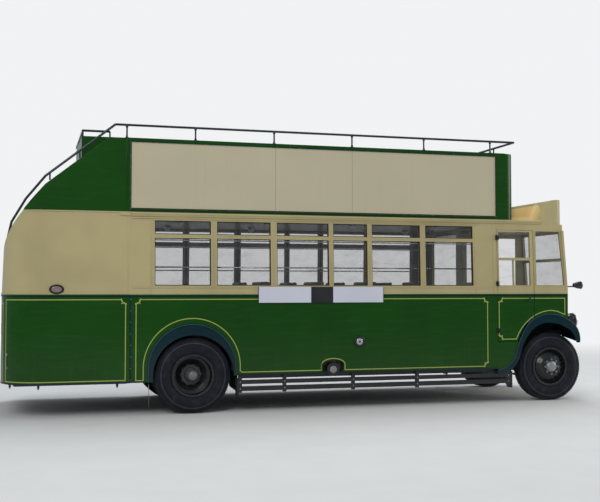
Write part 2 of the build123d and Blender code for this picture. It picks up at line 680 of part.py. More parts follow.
def saloon_floor():
    """Floor of the saloon, cut away round the wheel boxes."""
    inner = HALF_WIDTH - WALL - FIT
    floor = block(SPLIT_X, CAB_REAR_X - FIT, -inner, inner, FLOOR_Z - FLOOR_DEPTH, FLOOR_Z - FIT)
    reach = WHEEL_BOX_R + FIT
    for y0, y1 in ((WHEEL_BOX_Y - FIT, inner + 1), (-inner - 1, FIT - WHEEL_BOX_Y)):
        floor -= block(ARCH_X - reach, ARCH_X + reach, y0, y1, FLOOR_Z - 50, FLOOR_Z + 10)
    return floor


# Rear platform, stair and the wall round them

def plan(inset, x_front=SPLIT_X):
    """Plan of the body behind a station, with both rear corners rounded, set in from the outer face."""
    x0, half, radius = inset - REAR_OVERHANG, HALF_WIDTH - inset, CORNER_R - inset
    centre_x, centre_y = x0 + radius, half - radius
    turn = radius * sin(radians(45))
    return make_face(Line((x_front, -half), (centre_x, -half))
                     + ThreePointArc((centre_x, -half), (centre_x - turn, -centre_y - turn), (x0, -centre_y))
                     + Line((x0, -centre_y), (x0, centre_y))
                     + ThreePointArc((x0, centre_y), (centre_x - turn, centre_y + turn), (centre_x, half))
                     + Line((centre_x, half), (x_front, half)) + Line((x_front, half), (x_front, -half)))


def leaning_plan(inset, x_front, z0, z1):
    """Solid of the plan between two heights above the waist, drawn in by the lean of the sides."""
    lean = HALF_WIDTH - DECK_HALF_WIDTH
    sections = [Plane.XY.offset(WAIST_Z) * plan(inset, x_front), Plane.XY.offset(DECK_Z) * plan(inset + lean, x_front)]
    return loft(sections, ruled=True) & block(-REAR_OVERHANG - 100, x_front, -SIDE_OUT, SIDE_OUT, z0, z1)


def rear_wall_keep(x_front, z0, z1):
    """Region that keeps the offside and rear of a ring, up to where the stair begins."""
    return block(-REAR_OVERHANG - 100, x_front, -SIDE_OUT, REAR_WALL_END_Y, z0, z1)


EDGE_START = (STAIR_HEAD_X, PANEL_TOP_Z)
EDGE_BEND = (CORNER_R - REAR_OVERHANG, 2806)
TURN_X, TURN_Y = CORNER_R - REAR_OVERHANG, CORNER_R - HALF_WIDTH

# Top edge of the stair wall round the rear corner: angle from the side, height
CORNER_EDGE = [(0, EDGE_BEND[1]), (30, 2530), (60, 2258), (90, CORNER_EDGE_Z)]


def edge_cut():
    """Solid above the sloping top edge of the stair wall: along the side, round the corner, across the rear."""
    top = PANEL_TOP_Z + 300
    side = polygon(EDGE_START, EDGE_BEND, (TURN_X, top), (EDGE_START[0], top))
    cut = prism_y(side, -HALF_WIDTH - 100, TURN_Y)
    sections = []
    for angle, z in CORNER_EDGE:
        radial = Plane(origin=(TURN_X, TURN_Y, 0), x_dir=(-sin(radians(angle)), -cos(radians(angle)), 0),
                       z_dir=(cos(radians(angle)), -sin(radians(angle)), 0))
        near, far, rise = CORNER_R / 4, CORNER_R * 1.5, radial.y_dir.Z
        sections.append(radial * polygon((near, z * rise), (far, z * rise), (far, top * rise), (near, top * rise)))
    cut += loft(sections, ruled=True)
    end = (REAR_WALL_END_Y - 160, END_EDGE_Z + 110)
    tail = (REAR_WALL_END_Y + 1, END_EDGE_Z - 180)
    back = make_face(Line((TURN_Y, CORNER_EDGE_Z), end)
                     + ThreePointArc(end, (REAR_WALL_END_Y - 60, END_EDGE_Z + 20), tail)
                     + Line(tail, (HALF_WIDTH, tail[1])) + Line((HALF_WIDTH, tail[1]), (HALF_WIDTH, top))
                     + Line((HALF_WIDTH, top), (TURN_Y, top)) + Line((TURN_Y, top), (TURN_Y, CORNER_EDGE_Z)))
    return cut + prism_x(back, -REAR_OVERHANG - 200, TURN_X)


def rear_panel_lower():
    """Green lower wall round the offside rear corner."""
    ring = prism_z(plan(0), REAR_SKIRT_Z, WAIST_Z) - prism_z(plan(WALL), REAR_SKIRT_Z - 1, WAIST_Z + 1)
    bead = prism_z(plan(-MOULDING), WAIST_Z - 18, WAIST_Z) - prism_z(plan(WALL), WAIST_Z - 20, WAIST_Z + 1)
    return ((ring + bead) & rear_wall_keep(SPLIT_X - FIT, REAR_SKIRT_Z, WAIST_Z)) - edge_cut()


def rear_panel_upper():
    """Cream wall round the offside rear corner, between the waist and the deck."""
    outer = leaning_plan(0, SPLIT_X - FIT, WAIST_Z, DECK_Z)
    inner = leaning_plan(WALL, SPLIT_X + 10, WAIST_Z, DECK_Z)
    return ((outer - inner) & rear_wall_keep(SPLIT_X, WAIST_Z, DECK_Z)) - edge_cut()


UPPER_WALL = 30


def upper_plan(inset, x_front):
    """Plan of the wall above the deck, following the rear corner."""
    lean = HALF_WIDTH - DECK_HALF_WIDTH
    return plan(lean + inset, x_front)


def stair_panel():
    """Green wall above the deck line that follows the stair down round the corner."""
    x_front = RAIL_POSTS[0]
    ring = prism_z(upper_plan(0, x_front), DECK_Z, PANEL_TOP_Z)
    ring -= prism_z(upper_plan(UPPER_WALL, x_front + 1), DECK_Z - 1, PANEL_TOP_Z + 1)
    return (ring & rear_wall_keep(x_front - FIT, DECK_Z, PANEL_TOP_Z)) - edge_cut()


def rear_platform():
    """Platform floor behind the saloon with its raised nosing."""
    slab = prism_z(plan(WALL + FIT, SPLIT_X - FIT), PLATFORM_Z - 35, PLATFORM_Z)
    open_side = prism_z(plan(0, SPLIT_X - FIT), PLATFORM_Z - 35, PLATFORM_Z)
    open_side &= block(-REAR_OVERHANG - 10, SPLIT_X, REAR_WALL_END_Y + FIT, HALF_WIDTH + 10, 300, 500)
    return slab + open_side


NEWEL_X = WALL + STAIR_WIDTH - REAR_OVERHANG
NEWEL_Y = WALL + STAIR_WIDTH - HALF_WIDTH
STEP_RISE = (DECK_Z - PLATFORM_Z) / STAIR_STEPS
FLIGHT_STEPS = 3
UPPER_GOING = (STAIR_HEAD_X - NEWEL_X) / FLIGHT_STEPS
LOWER_GOING = 222


def step_plan(k):
    """Plan of step k: the lower flight across the rear, three winders, then the upper flight."""
    if k <= FLIGHT_STEPS:
        y1 = NEWEL_Y + (FLIGHT_STEPS + 1 - k) * LOWER_GOING
        return polygon((NEWEL_X, y1), (NEWEL_X - 900, y1), (NEWEL_X - 900, y1 - LOWER_GOING - RISER_THICK),
                       (NEWEL_X, y1 - LOWER_GOING - RISER_THICK))
    if k <= 2 * FLIGHT_STEPS:
        reach = 1200
        a0 = radians(180 + 30 * (k - FLIGHT_STEPS - 1))
        a1 = a0 + radians(34)
        return polygon((NEWEL_X, NEWEL_Y), (NEWEL_X + reach * cos(a0), NEWEL_Y + reach * sin(a0)),
                       (NEWEL_X + reach * cos(a1), NEWEL_Y + reach * sin(a1)))
    x0 = NEWEL_X + (k - 2 * FLIGHT_STEPS - 1) * UPPER_GOING
    return polygon((x0, NEWEL_Y), (x0, NEWEL_Y - 900), (x0 + UPPER_GOING + RISER_THICK, NEWEL_Y - 900),
                   (x0 + UPPER_GOING + RISER_THICK, NEWEL_Y))


def riser_plan(k):
    """Plan of the riser at the front edge of step k."""
    if k <= FLIGHT_STEPS:
        y1 = NEWEL_Y + (FLIGHT_STEPS + 1 - k) * LOWER_GOING
        return polygon((NEWEL_X, y1), (NEWEL_X - 900, y1), (NEWEL_X - 900, y1 - RISER_THICK),
                       (NEWEL_X, y1 - RISER_THICK))
    if k <= 2 * FLIGHT_STEPS:
        reach = 1200
        a0 = radians(180 + 30 * (k - FLIGHT_STEPS - 1))
        a1 = a0 + radians(4)
        return polygon((NEWEL_X, NEWEL_Y), (NEWEL_X + reach * cos(a0), NEWEL_Y + reach * sin(a0)),
                       (NEWEL_X + reach * cos(a1), NEWEL_Y + reach * sin(a1)))
    x0 = NEWEL_X + (k - 2 * FLIGHT_STEPS - 1) * UPPER_GOING
    return polygon((x0, NEWEL_Y), (x0, NEWEL_Y - 900), (x0 + RISER_THICK, NEWEL_Y - 900), (x0 + RISER_THICK, NEWEL_Y))


def staircase():
    """Open curved stair from the platform to the deck, treads and risers joined to a newel post."""
    well = leaning_plan(WALL + 2, STAIR_HEAD_X + 100, WAIST_Z, DECK_Z)
    well += prism_z(plan(WALL + 2, STAIR_HEAD_X + 100), PLATFORM_Z, WAIST_Z)
    stair = Pos(NEWEL_X, NEWEL_Y, (PLATFORM_Z + DECK_Z) / 2) * Cylinder(28, DECK_Z - PLATFORM_Z)
    for k in range(1, STAIR_STEPS):
        top = PLATFORM_Z + k * STEP_RISE
        stair += prism_z(step_plan(k), top - TREAD_THICK, top) & well
        stair += prism_z(riser_plan(k), top - STEP_RISE, top - TREAD_THICK + 1) & well
    last = block(STAIR_HEAD_X - 1, STAIR_HEAD_X + RISER_THICK - 1, NEWEL_Y - 900, NEWEL_Y, DECK_Z - STEP_RISE - 1,
                 CEILING_Z - FIT)
    return stair + (last & well)


# Upper deck

def upper_floor():
    """Deck slab, cut away at the rear for the stair head."""
    half = DECK_HALF_WIDTH - WALL - FIT
    slab = block(DECK_REAR_X, DECK_FRONT_X, -DECK_HALF_WIDTH, DECK_HALF_WIDTH, CEILING_Z, DECK_Z)
    slab -= block(DECK_REAR_X - 1, STAIR_HEAD_X, -SIDE_OUT, NEWEL_Y, CEILING_Z - 1, DECK_Z + 1)
    slab -= block(STAIR_HEAD_X - 1, SPLIT_X, -SIDE_OUT, -half, CEILING_Z - 1, DECK_Z + 1)
    return slab


HOOD_SPLIT_X = WHEELBASE - 110
HOOD_LEAN = (-60, 72)
CORNICE_FRONT_X = HOOD_SPLIT_X + HOOD_LEAN[0] - 9


def cornices():
    """Mouldings along both sides at deck level, from the body split to the hood over the cab."""
    low, high = CEILING_Z, DECK_Z - 4
    outer = DECK_HALF_WIDTH + CORNICE_OUT
    outline = make_face(Polyline((DECK_HALF_WIDTH, low), (outer - 16, low), (outer - 8, low + 20))
                        + ThreePointArc((outer - 8, low + 20), (outer, low + 34), (outer - 10, high))
                        + Polyline((outer - 10, high), (DECK_HALF_WIDTH, high), (DECK_HALF_WIDTH, low)))
    return both(prism_x(outline, SPLIT_X - FIT, CORNICE_FRONT_X))


def ceiling():
    """Slatted lining under the deck, over the saloon."""
    half = side_y(CEILING_Z) - WALL - 8
    count = 14
    pitch = 2 * half / count
    slats = block(SPLIT_X + WALL + 2, CAB_REAR_X - WALL - 2, -half, half, CEILING_Z - 8, CEILING_Z)
    for k in range(count):
        y = -half + (k + 0.5) * pitch
        slats += block(SPLIT_X + WALL + 2, CAB_REAR_X - WALL - 2, y - pitch * 0.42, y + pitch * 0.42,
                       CEILING_Z - 18, CEILING_Z - 7)
    return slats


FRONT_CORNER_R = 150


def upper_side(x0):
    """Nearside wall of the deck from a station to the front corner."""
    return block(x0, DECK_FRONT_X - FRONT_CORNER_R - FIT, DECK_HALF_WIDTH - UPPER_WALL, DECK_HALF_WIDTH, DECK_Z,
                 PANEL_TOP_Z)


def upper_front():
    """Front wall of the deck with its two rounded corners."""
    x0 = DECK_FRONT_X - FRONT_CORNER_R

    def outline(inset):
        x1, half, radius = DECK_FRONT_X - inset, DECK_HALF_WIDTH - inset, FRONT_CORNER_R - inset
        turn = radius * (1 - sin(radians(45)))
        return make_face(ThreePointArc((x0, -half), (x1 - turn, turn - half), (x1, radius - half))
                         + Line((x1, radius - half), (x1, half - radius))
                         + ThreePointArc((x1, half - radius), (x1 - turn, half - turn), (x0, half))
                         + Line((x0, half), (x0, -half)))
    return prism_z(outline(0), DECK_Z, PANEL_TOP_Z) - prism_z(outline(UPPER_WALL), DECK_Z - 1, PANEL_TOP_Z + 1)


REAR_CORNER_R = 200


def upper_rear():
    """Rear wall of the deck with its nearside corner, and the guard beside the stair head."""
    x0, y1 = DECK_REAR_X, DECK_HALF_WIDTH
    y0 = NEWEL_Y

    def outline(inset):
        radius = REAR_CORNER_R - inset
        turn = radius * (1 - sin(radians(45)))
        left, far = x0 + inset, y1 - inset
        x_end = x0 + REAR_CORNER_R
        return make_face(Line((left, y0 - 1 + inset), (left, far - radius))
                         + ThreePointArc((left, far - radius), (left + turn, far - turn), (left + radius, far))
                         + Polyline((left + radius, far), (x_end + 1, far), (x_end + 1, y0 - 1 + inset),
                                    (left, y0 - 1 + inset)))
    wall = prism_z(outline(0), DECK_Z, GUARD_TOP_Z) - prism_z(outline(UPPER_WALL), DECK_Z - 1, GUARD_TOP_Z + 1)
    wall &= block(x0 - 1, x0 + REAR_CORNER_R, y0, y1 + 1, DECK_Z, GUARD_TOP_Z)
    guard = block(x0, STAIR_HEAD_X + 60, y0, y0 + UPPER_WALL, DECK_Z, GUARD_TOP_Z)
    return wall + guard


def top_rail_side(y, posts, x_rear, x_front):
    """Level rail along one side of the deck with its posts."""
    rail = rod((x_rear, y, RAIL_Z), (x_front, y, RAIL_Z), RAIL_R)
    for x in posts:
        rail += rod((x, y, PANEL_TOP_Z), (x, y, RAIL_Z), RAIL_R * 0.7)
    return rail


def stair_edge_z(x):
    """Height of the stair wall's top edge along the straight offside part."""
    slope = (EDGE_START[1] - EDGE_BEND[1]) / (EDGE_START[0] - EDGE_BEND[0])
    return EDGE_START[1] + slope * (x - EDGE_START[0])


HANDRAIL_UP = 105


def stair_handrail():
    """Handrail that runs down over the stair wall, round the corner and across the rear."""
    y_side = DECK_HALF_WIDTH - UPPER_WALL / 2
    radius = CORNER_R - (HALF_WIDTH - y_side)
    points = [(STAIR_HEAD_X + 65, -y_side, RAIL_Z)]
    for angle, z in CORNER_EDGE:
        turn = radians(angle)
        points.append((TURN_X - radius * sin(turn), TURN_Y - radius * cos(turn), z + HANDRAIL_UP))
    rear_x = TURN_X - radius
    points.append((rear_x, REAR_WALL_END_Y - 160, END_EDGE_Z + 110 + HANDRAIL_UP))
    points.append((rear_x, REAR_WALL_END_Y - 60, END_EDGE_Z + 20 + 1.9 * RAIL_R))
    rail = Part()
    for start, end in zip(points, points[1:]):
        rail += rod(start, end, RAIL_R) + Pos(*end) * Sphere(RAIL_R)
    for x in (-1400, -1750):
        foot = stair_edge_z(x) + RAIL_R
        rail += rod((x, -y_side, foot), (x, -y_side, foot + HANDRAIL_UP - RAIL_R), RAIL_R * 0.7)
    return rail


# Cab

WIND_TOP = (DASH_X - 54, DOOR_TOP_Z)
WIND_LOW = (DASH_X + 5, 1532)


# Openings of the windscreen
SCREEN_Y = (65 - HALF_WIDTH, CAB_INNER_Y - 60)
SCREEN_Z = [(DOOR_TOP_Z - 759, DOOR_TOP_Z - 424), (DOOR_TOP_Z - 384, DOOR_TOP_Z - 39)]


def cab_front():
    """Front wall of the cab: upright dash below and a raked windscreen frame above."""
    low_z = 980
    depth = CAB_WALL
    outer = [(DASH_X, low_z), WIND_LOW, WIND_TOP]
    inner = [(x - depth, z) for x, z in outer[::-1]]
    wall = prism_y(polygon(*(outer + inner)), -HALF_WIDTH, CAB_INNER_Y)
    for z0, z1 in SCREEN_Z:
        wall -= block(WHEELBASE, DASH_X + 50, *SCREEN_Y, z0, z1)
    wall -= wing_solid(FIT, -HALF_WIDTH - 10, FIT - WING_INNER_Y)
    wall -= block(WHEELBASE, DASH_X + 50, -320 - FIT, CAB_INNER_Y + 10, low_z - 10, BONNET_TOP_Z + 100)
    return wall


def windscreen():
    """Upper and lower panes of the windscreen, set in the raked frame."""
    rake = (WIND_TOP[0] - WIND_LOW[0]) / (WIND_TOP[1] - WIND_LOW[1])
    panes = []
    for z0, z1 in SCREEN_Z:
        x0 = WIND_LOW[0] + rake * (z0 - WIND_LOW[1]) - CAB_WALL / 2
        x1 = WIND_LOW[0] + rake * (z1 - WIND_LOW[1]) - CAB_WALL / 2
        face = polygon((x0, z0 + FIT), (x0 + GLASS, z0 + FIT), (x1 + GLASS, z1 - FIT), (x1, z1 - FIT))
        panes.append(prism_y(face, SCREEN_Y[0] + FIT, SCREEN_Y[1] - FIT))
    return panes


QUARTER_REAR_X = WHEELBASE - 258
QUARTER_Z = (DOOR_TOP_Z - 759, DOOR_TOP_Z - 10)


def cab_front_limit():
    """Outline in X and Z of all that lies ahead of the front wall's inner face."""
    inset = CAB_WALL + FIT
    return polygon((DASH_X - inset, 800), (DASH_X - inset, 980), (WIND_LOW[0] - inset, WIND_LOW[1]),
                   (WIND_TOP[0] - inset, WIND_TOP[1]), (WIND_TOP[0] - inset, 2600), (DASH_X + 400, 2600),
                   (DASH_X + 400, 800))


def quarter_window(gap):
    """Outline of the cab's quarter window, in X and Z, drawn in by a gap."""
    rear = QUARTER_REAR_X + gap
    low, high = QUARTER_Z[0] + gap, QUARTER_Z[1] - gap
    return polygon((rear, low), (DASH_X - 45 - gap, low), (DASH_X - 110 - gap, high), (rear, high))


def cab_side():
    """Offside wall of the cab ahead of the door, down to the wing, with the quarter window."""
    x0, x1 = CAB_REAR_X + DOOR_WIDTH, DASH_X - CAB_WALL - FIT
    wall = block(x0, x1, -HALF_WIDTH, CAB_WALL - HALF_WIDTH, 900, WAIST_Z)
    wall += other_side(side_slab(x0, x1 + 20, WAIST_Z, DOOR_TOP_Z, 0, CAB_WALL))
    wall -= prism_y(cab_front_limit(), -SIDE_OUT, 0)
    wall -= prism_y(quarter_window(0), -SIDE_OUT, 0)
    wall -= wing_solid(FIT, -HALF_WIDTH - 10, 0)
    bead = block(x0, x1, -HALF_WIDTH - MOULDING, -HALF_WIDTH, WAIST_Z - 18, WAIST_Z)
    return wall + bead


def quarter_glass():
    """Pane of the quarter window."""
    sheet = other_side(side_slab(CAB_REAR_X, DASH_X, WAIST_Z, CEILING_Z, CAB_WALL / 2, GLASS))
    return sheet & prism_y(quarter_window(FIT), -SIDE_OUT, 0)


def cab_inner():
    """Nearside wall of the cab above the bonnet, with a window."""
    x0, x1 = CAB_REAR_X + FIT, DASH_X
    wall = block(x0, x1, CAB_INNER_Y - CAB_WALL, CAB_INNER_Y, BONNET_TOP_Z + FIT, DOOR_TOP_Z)
    wall -= prism_y(cab_front_limit(), -HALF_WIDTH, HALF_WIDTH)
    wall -= block(RADIATOR_X - FIT, x1 + 1, -400, 400, BONNET_TOP_Z - 10, BONNET_TOP_Z + 100)
    return wall - block(x0 + 90, WHEELBASE + 50, CAB_INNER_Y - CAB_WALL - 1, CAB_INNER_Y + 1, SILL_Z,
                        DOOR_TOP_Z - 59)


# Lights of the cab door: underside and top Z
DOOR_LIGHTS = [(DOOR_TOP_Z - 762, DOOR_TOP_Z - 420), (DOOR_TOP_Z - 384, DOOR_TOP_Z - 28)]


def door_outline(gap):
    """Rear and front edge of the cab door, drawn in by a gap."""
    return (CAB_REAR_X + gap, CAB_REAR_X + DOOR_WIDTH - gap)


def cab_door():
    """Cab door, hinged at its rear edge: lower panel, leaning frame, lights and three hinge knuckles."""
    x0, x1 = door_outline(DOOR_GAP)
    z1 = DOOR_TOP_Z - DOOR_GAP
    door = block(x0, x1, -HALF_WIDTH, DOOR_WALL - HALF_WIDTH, DOOR_BOTTOM_Z, WAIST_Z)
    door += other_side(side_slab(x0, x1, WAIST_Z, z1, 0, DOOR_WALL))
    door += block(x0 + 12, x1, -HALF_WIDTH - MOULDING, -HALF_WIDTH, WAIST_Z - 18, WAIST_Z)
    for z0, z_top in DOOR_LIGHTS:
        door -= block(x0 + 24, x1 - 47, -SIDE_OUT, 0, z0, z_top)
    door += other_side(side_slab(x0 + 240, x0 + 258, DOOR_LIGHTS[0][0] - 1, DOOR_LIGHTS[0][1] + 1, 4, DOOR_WALL - 8))
    door -= wing_solid(20, -HALF_WIDTH - 10, 0)
    handle = rod((x1 - 60, -HALF_WIDTH, 1400), (x1 - 60, -HALF_WIDTH - 14, 1400), 7)
    handle += rod((x1 - 60, -HALF_WIDTH - 14, 1400), (x1 - 150, -HALF_WIDTH - 14, 1400), 7)
    for z in DOOR_HINGES:
        door += Pos(DOOR_PIVOT[0], DOOR_PIVOT[1], z) * Cylinder(HINGE_PIN_R, 2 * HINGE_HALF + 4)
        door += block(DOOR_PIVOT[0], DOOR_PIVOT[0] + HINGE_REACH, DOOR_PIVOT[1] - 3, 4 - side_y(z), z - HINGE_HALF,
                      z + HINGE_HALF)
    return door + handle


def door_glass():
    """Panes of the cab door: a fixed upper light and two sliding halves below."""
    x0, x1 = door_outline(DOOR_GAP)
    panes = []
    for a, b, (z0, z1) in ((x0 + 24, x0 + 240, DOOR_LIGHTS[0]), (x0 + 258, x1 - 47, DOOR_LIGHTS[0]),
                           (x0 + 24, x1 - 47, DOOR_LIGHTS[1])):
        panes.append(other_side(side_slab(a + FIT, b - FIT, z0 + FIT, z1 - FIT, DOOR_WALL / 2, GLASS)))
    return panes


CANOPY_CORNER_R = 40
CANOPY_FRONT_X = DASH_X - 38


def rounded_slab(x0, x1, half, z0, z1, radius):
    """Slab across the vehicle with its two front corners rounded in plan."""
    slab = block(x0, x1, -half, half, z0, z1)
    return fillet(slab.edges().filter_by(Axis.Z).group_by(Axis.X)[-1], radius)


def cab_roof():
    """Canopy over the cab and the bonnet, with rounded front corners."""
    return rounded_slab(CAB_REAR_X + FIT, CANOPY_FRONT_X, side_y(CEILING_Z), DOOR_TOP_Z + FIT, CEILING_Z - FIT,
                        CANOPY_CORNER_R)


HOOD_CORNER_R = 120
HOOD_TOP_Z = CEILING_Z + 350
HOOD_REAR_Z = CEILING_Z + 237
HOOD_INSET = 230
HOOD_COVE = 155
HOOD_FOOT = (DECK_THICK - 4, 65)
BLIND_Y = 420
BLIND_Z = (CEILING_Z + 84, CEILING_Z + 284)
BLIND_DEPTH = 12


def hood_profile():
    """Side view of the destination box, with its leaning rear edge and rounded brow."""
    base, top = CEILING_Z, HOOD_TOP_Z
    rear_low, rear_top = HOOD_SPLIT_X + HOOD_LEAN[0], HOOD_SPLIT_X + HOOD_LEAN[1]
    brow, nose = (CANOPY_FRONT_X - 75, top - 3), (CANOPY_FRONT_X, top - 62)
    return make_face(Line((rear_low, base), (rear_top, top - 23))
                     + ThreePointArc((rear_top, top - 23), ((rear_top + brow[0]) / 2, top - 7), brow)
                     + ThreePointArc(brow, (CANOPY_FRONT_X - 18, top - 20), nose)
                     + Line(nose, (CANOPY_FRONT_X, base)) + Line((CANOPY_FRONT_X, base), (rear_low, base)))


def hood_cove(half):
    """Upright hollow that turns the hood's narrow body out to the destination box, on the nearside."""
    side = half - HOOD_INSET
    sections = []
    for z, lean in ((CEILING_Z, HOOD_LEAN[0]), (HOOD_TOP_Z - 23, HOOD_LEAN[1])):
        split = HOOD_SPLIT_X + lean
        start, end = (split - HOOD_COVE, side), (split, half - 12)
        middle = (split - 0.293 * HOOD_COVE, side + 0.293 * (end[1] - side))
        sections.append(Plane.XY.offset(z) * make_face(
            ThreePointArc(start, middle, end) + Line(end, (split + 40, end[1]))
            + Line((split + 40, end[1]), (split + 40, side - 20)) + Line((split + 40, side - 20), (start[0], side - 20))
            + Line((start[0], side - 20), start)))
    return loft(sections, ruled=True)


def hood_foot(half):
    """Hollow sweep at the foot of the hood's body, out to the cornice, on the nearside."""
    rear_x = DECK_FRONT_X + FIT
    side, edge = half - HOOD_INSET, DECK_HALF_WIDTH - FIT
    low, high = CEILING_Z + HOOD_FOOT[0], CEILING_Z + HOOD_FOOT[0] + HOOD_FOOT[1]
    middle = (side + 0.293 * (edge - side), low + 0.293 * (high - low))
    face = make_face(Line((side - 20, CEILING_Z), (edge, CEILING_Z)) + Line((edge, CEILING_Z), (edge, low))
                     + ThreePointArc((edge, low), middle, (side, high)) + Line((side, high), (side - 20, high))
                     + Line((side - 20, high), (side - 20, CEILING_Z)))
    return prism_x(face, rear_x, HOOD_SPLIT_X + 10)


def front_hood():
    """Curved hood over the canopy: a destination box ahead of a narrower body, coved into box and roof."""
    base, rear_x = CEILING_Z, DECK_FRONT_X + FIT
    half = side_y(CEILING_Z)
    box = prism_y(hood_profile(), -half, half)
    box &= rounded_slab(rear_x, CANOPY_FRONT_X, half, base, HOOD_TOP_Z + 50, HOOD_CORNER_R)
    crest = (HOOD_SPLIT_X + 40, HOOD_TOP_Z - 33)
    under = prism_y(polygon((rear_x, base), (rear_x, HOOD_REAR_Z), crest, (HOOD_SPLIT_X + 130, crest[1]),
                            (HOOD_SPLIT_X + 130, base)), -half, half)
    body = prism_y(polygon((rear_x, base), (rear_x, HOOD_REAR_Z), crest, (HOOD_SPLIT_X + 72, HOOD_TOP_Z - 108),
                           (HOOD_SPLIT_X - 20, base)), HOOD_INSET - half, half - HOOD_INSET)
    cove = hood_cove(half) & under
    foot = hood_foot(half)
    blind = block(CANOPY_FRONT_X - BLIND_DEPTH, CANOPY_FRONT_X + 10, -BLIND_Y, BLIND_Y, *BLIND_Z)
    return box + body + cove + other_side(cove) + foot + other_side(foot) - blind


def blind_glass():
    """Blank destination blind behind its glass."""
    return block(CANOPY_FRONT_X - BLIND_DEPTH + FIT, CANOPY_FRONT_X - 4, FIT - BLIND_Y, BLIND_Y - FIT,
                 BLIND_Z[0] + FIT, BLIND_Z[1] - FIT)


CAB_FLOOR_Z = 865
CAB_FLOOR_THICK = 30


def cab_floor():
    """Floor of the cab between the bonnet and the wing."""
    x0, x1 = CAB_REAR_X + FIT, DASH_X - CAB_WALL - FIT
    floor = block(x0, x1, WALL - HALF_WIDTH, -BONNET_HALF - FIT, CAB_FLOOR_Z - CAB_FLOOR_THICK, CAB_FLOOR_Z)
    cut = wing_solid(FIT, -HALF_WIDTH, FIT - WING_INNER_Y)
    return floor - cut - block(WHEELBASE + 120, x1 + 1, -330, 0, CAB_FLOOR_Z - 65, CAB_FLOOR_Z + 35)


def driver_seat():
    """Driver's seat: base, cushion and back."""
    x = CAB_REAR_X + 120
    y0, y1 = -800, -360
    base = block(x + 40, x + 400, 20 - WING_INNER_Y, y1 - 30, CAB_FLOOR_Z + FIT, 1180)
    cushion = fillet(block(x, x + 450, y0, y1, 1180, 1290).edges(), 25)
    back = fillet(block(x - 60, x + 40, y0, y1, 1270, 1760).edges(), 25)
    return base + cushion + back


STEER_RING_R = 235


def steering_wheel():
    """Steering column, its foot plate and its four-spoke wheel, drawn along the column and then raked."""
    foot, head = Vector(WHEELBASE - 120, -480, CAB_FLOOR_Z + 12), Vector(WHEELBASE - 260, -560, 1480)
    length = (head - foot).length
    wheel = Torus(STEER_RING_R, 14) + Cylinder(38, 34)
    for k in range(4):
        spoke = Pos(STEER_RING_R / 2 + 5, 0, 0) * Rot(0, 90, 0) * Cylinder(8, STEER_RING_R - 10)
        wheel += Rot(0, 0, 90 * k + 45) * spoke
    column = Pos(0, 0, length / 2) * Cylinder(22, length) + Pos(0, 0, length) * wheel
    plate = Pos(foot.X, foot.Y, CAB_FLOOR_Z + FIT + 9) * Cylinder(46, 18)
    return Plane(origin=foot, z_dir=head - foot) * column + plate


# Lamps and fittings

HEADLAMP = (WHEELBASE + 435, 800, 1087)


def cap_arc(rim_x, rim_r, end_x):
    """Arc from the rim to the lamp's axis, with its centre on that axis."""
    centre = (end_x ** 2 - rim_x ** 2 - rim_r ** 2) / (2 * (end_x - rim_x))
    radius = abs(end_x - centre)
    facing = 1 if end_x > centre else -1
    half = atan2(rim_r, facing * (rim_x - centre)) / 2
    middle = (centre + facing * radius * cos(half), radius * sin(half))
    return ThreePointArc((rim_x, rim_r), middle, (end_x, 0))


def headlamp():
    """Nearside headlamp: deep bowl, rim and bracket down to the frame."""
    x, y, z = HEADLAMP
    bowl = Plane(origin=(x, y, z), x_dir=(1, 0, 0), z_dir=(0, -1, 0)) * make_face(
        cap_arc(40, 106, -95) + Line((40, 106), (40, 114)) + Line((40, 114), (72, 114))
        + Line((72, 114), (72, 100)) + cap_arc(72, 100, 90) + Line((90, 0), (-95, 0)))
    lamp = revolve(bowl, Axis((x, y, z), (1, 0, 0)))
    knee, foot = (x + 15, 590, 800), (x + 15, 540, 612)
    stay = rod((x + 15, y - 60, z - 70), knee, 15) + Pos(*knee) * Sphere(15) + rod(knee, foot, 15)
    stay += Pos(*foot) * Sphere(15) + rod(foot, (x + 15, RAIL_Y + RAIL_WIDTH / 2 + FIT, foot[2]), 15)
    return lamp + stay


SIDELAMP = (DASH_X + 195, 1075, 1600)


def sidelamp():
    """Torpedo side lamp on a short arm from the cab's front corner."""
    x, y, z = SIDELAMP
    body = Plane(origin=(x, -y, z), x_dir=(1, 0, 0), z_dir=(0, -1, 0)) * make_face(
        cap_arc(-44, 34, -75) + Line((-44, 34), (-5, 47)) + Line((-5, 47), (30, 52)) + Line((30, 52), (52, 52))
        + cap_arc(52, 52, 70) + Line((70, 0), (-75, 0)))
    lamp = revolve(body, Axis((x, -y, z), (1, 0, 0)))
    arm_z = z - 20
    front = WIND_LOW[0] + (WIND_TOP[0] - WIND_LOW[0]) * (arm_z - WIND_LOW[1]) / (WIND_TOP[1] - WIND_LOW[1])
    return lamp + rod((front + 3 * FIT, -y, arm_z), (x, -y, arm_z), 9)


def oval_lamp():
    """Oval rear side lamp on the cream wall."""
    face = Pos(-1661, 1544) * Ellipse(87, 58)
    return prism_y(face, -HALF_WIDTH - 10, -HALF_WIDTH + 20) \
        - leaning_plan(0, SPLIT_X, WAIST_Z, DECK_Z) - prism_z(plan(0), 1000, WAIST_Z)


# Lifeguard slats: underside Z, depth; ends and hangers: X
SLATS = [(SKIRT_Z - 200, 58), (SKIRT_Z - 114, 52)]
GUARD_X = (555, CAB_REAR_X + 227)
HANGER_X = [GUARD_X[0] + reach for reach in (40, 620, 1545, 2445)] + [GUARD_X[1] - 60]


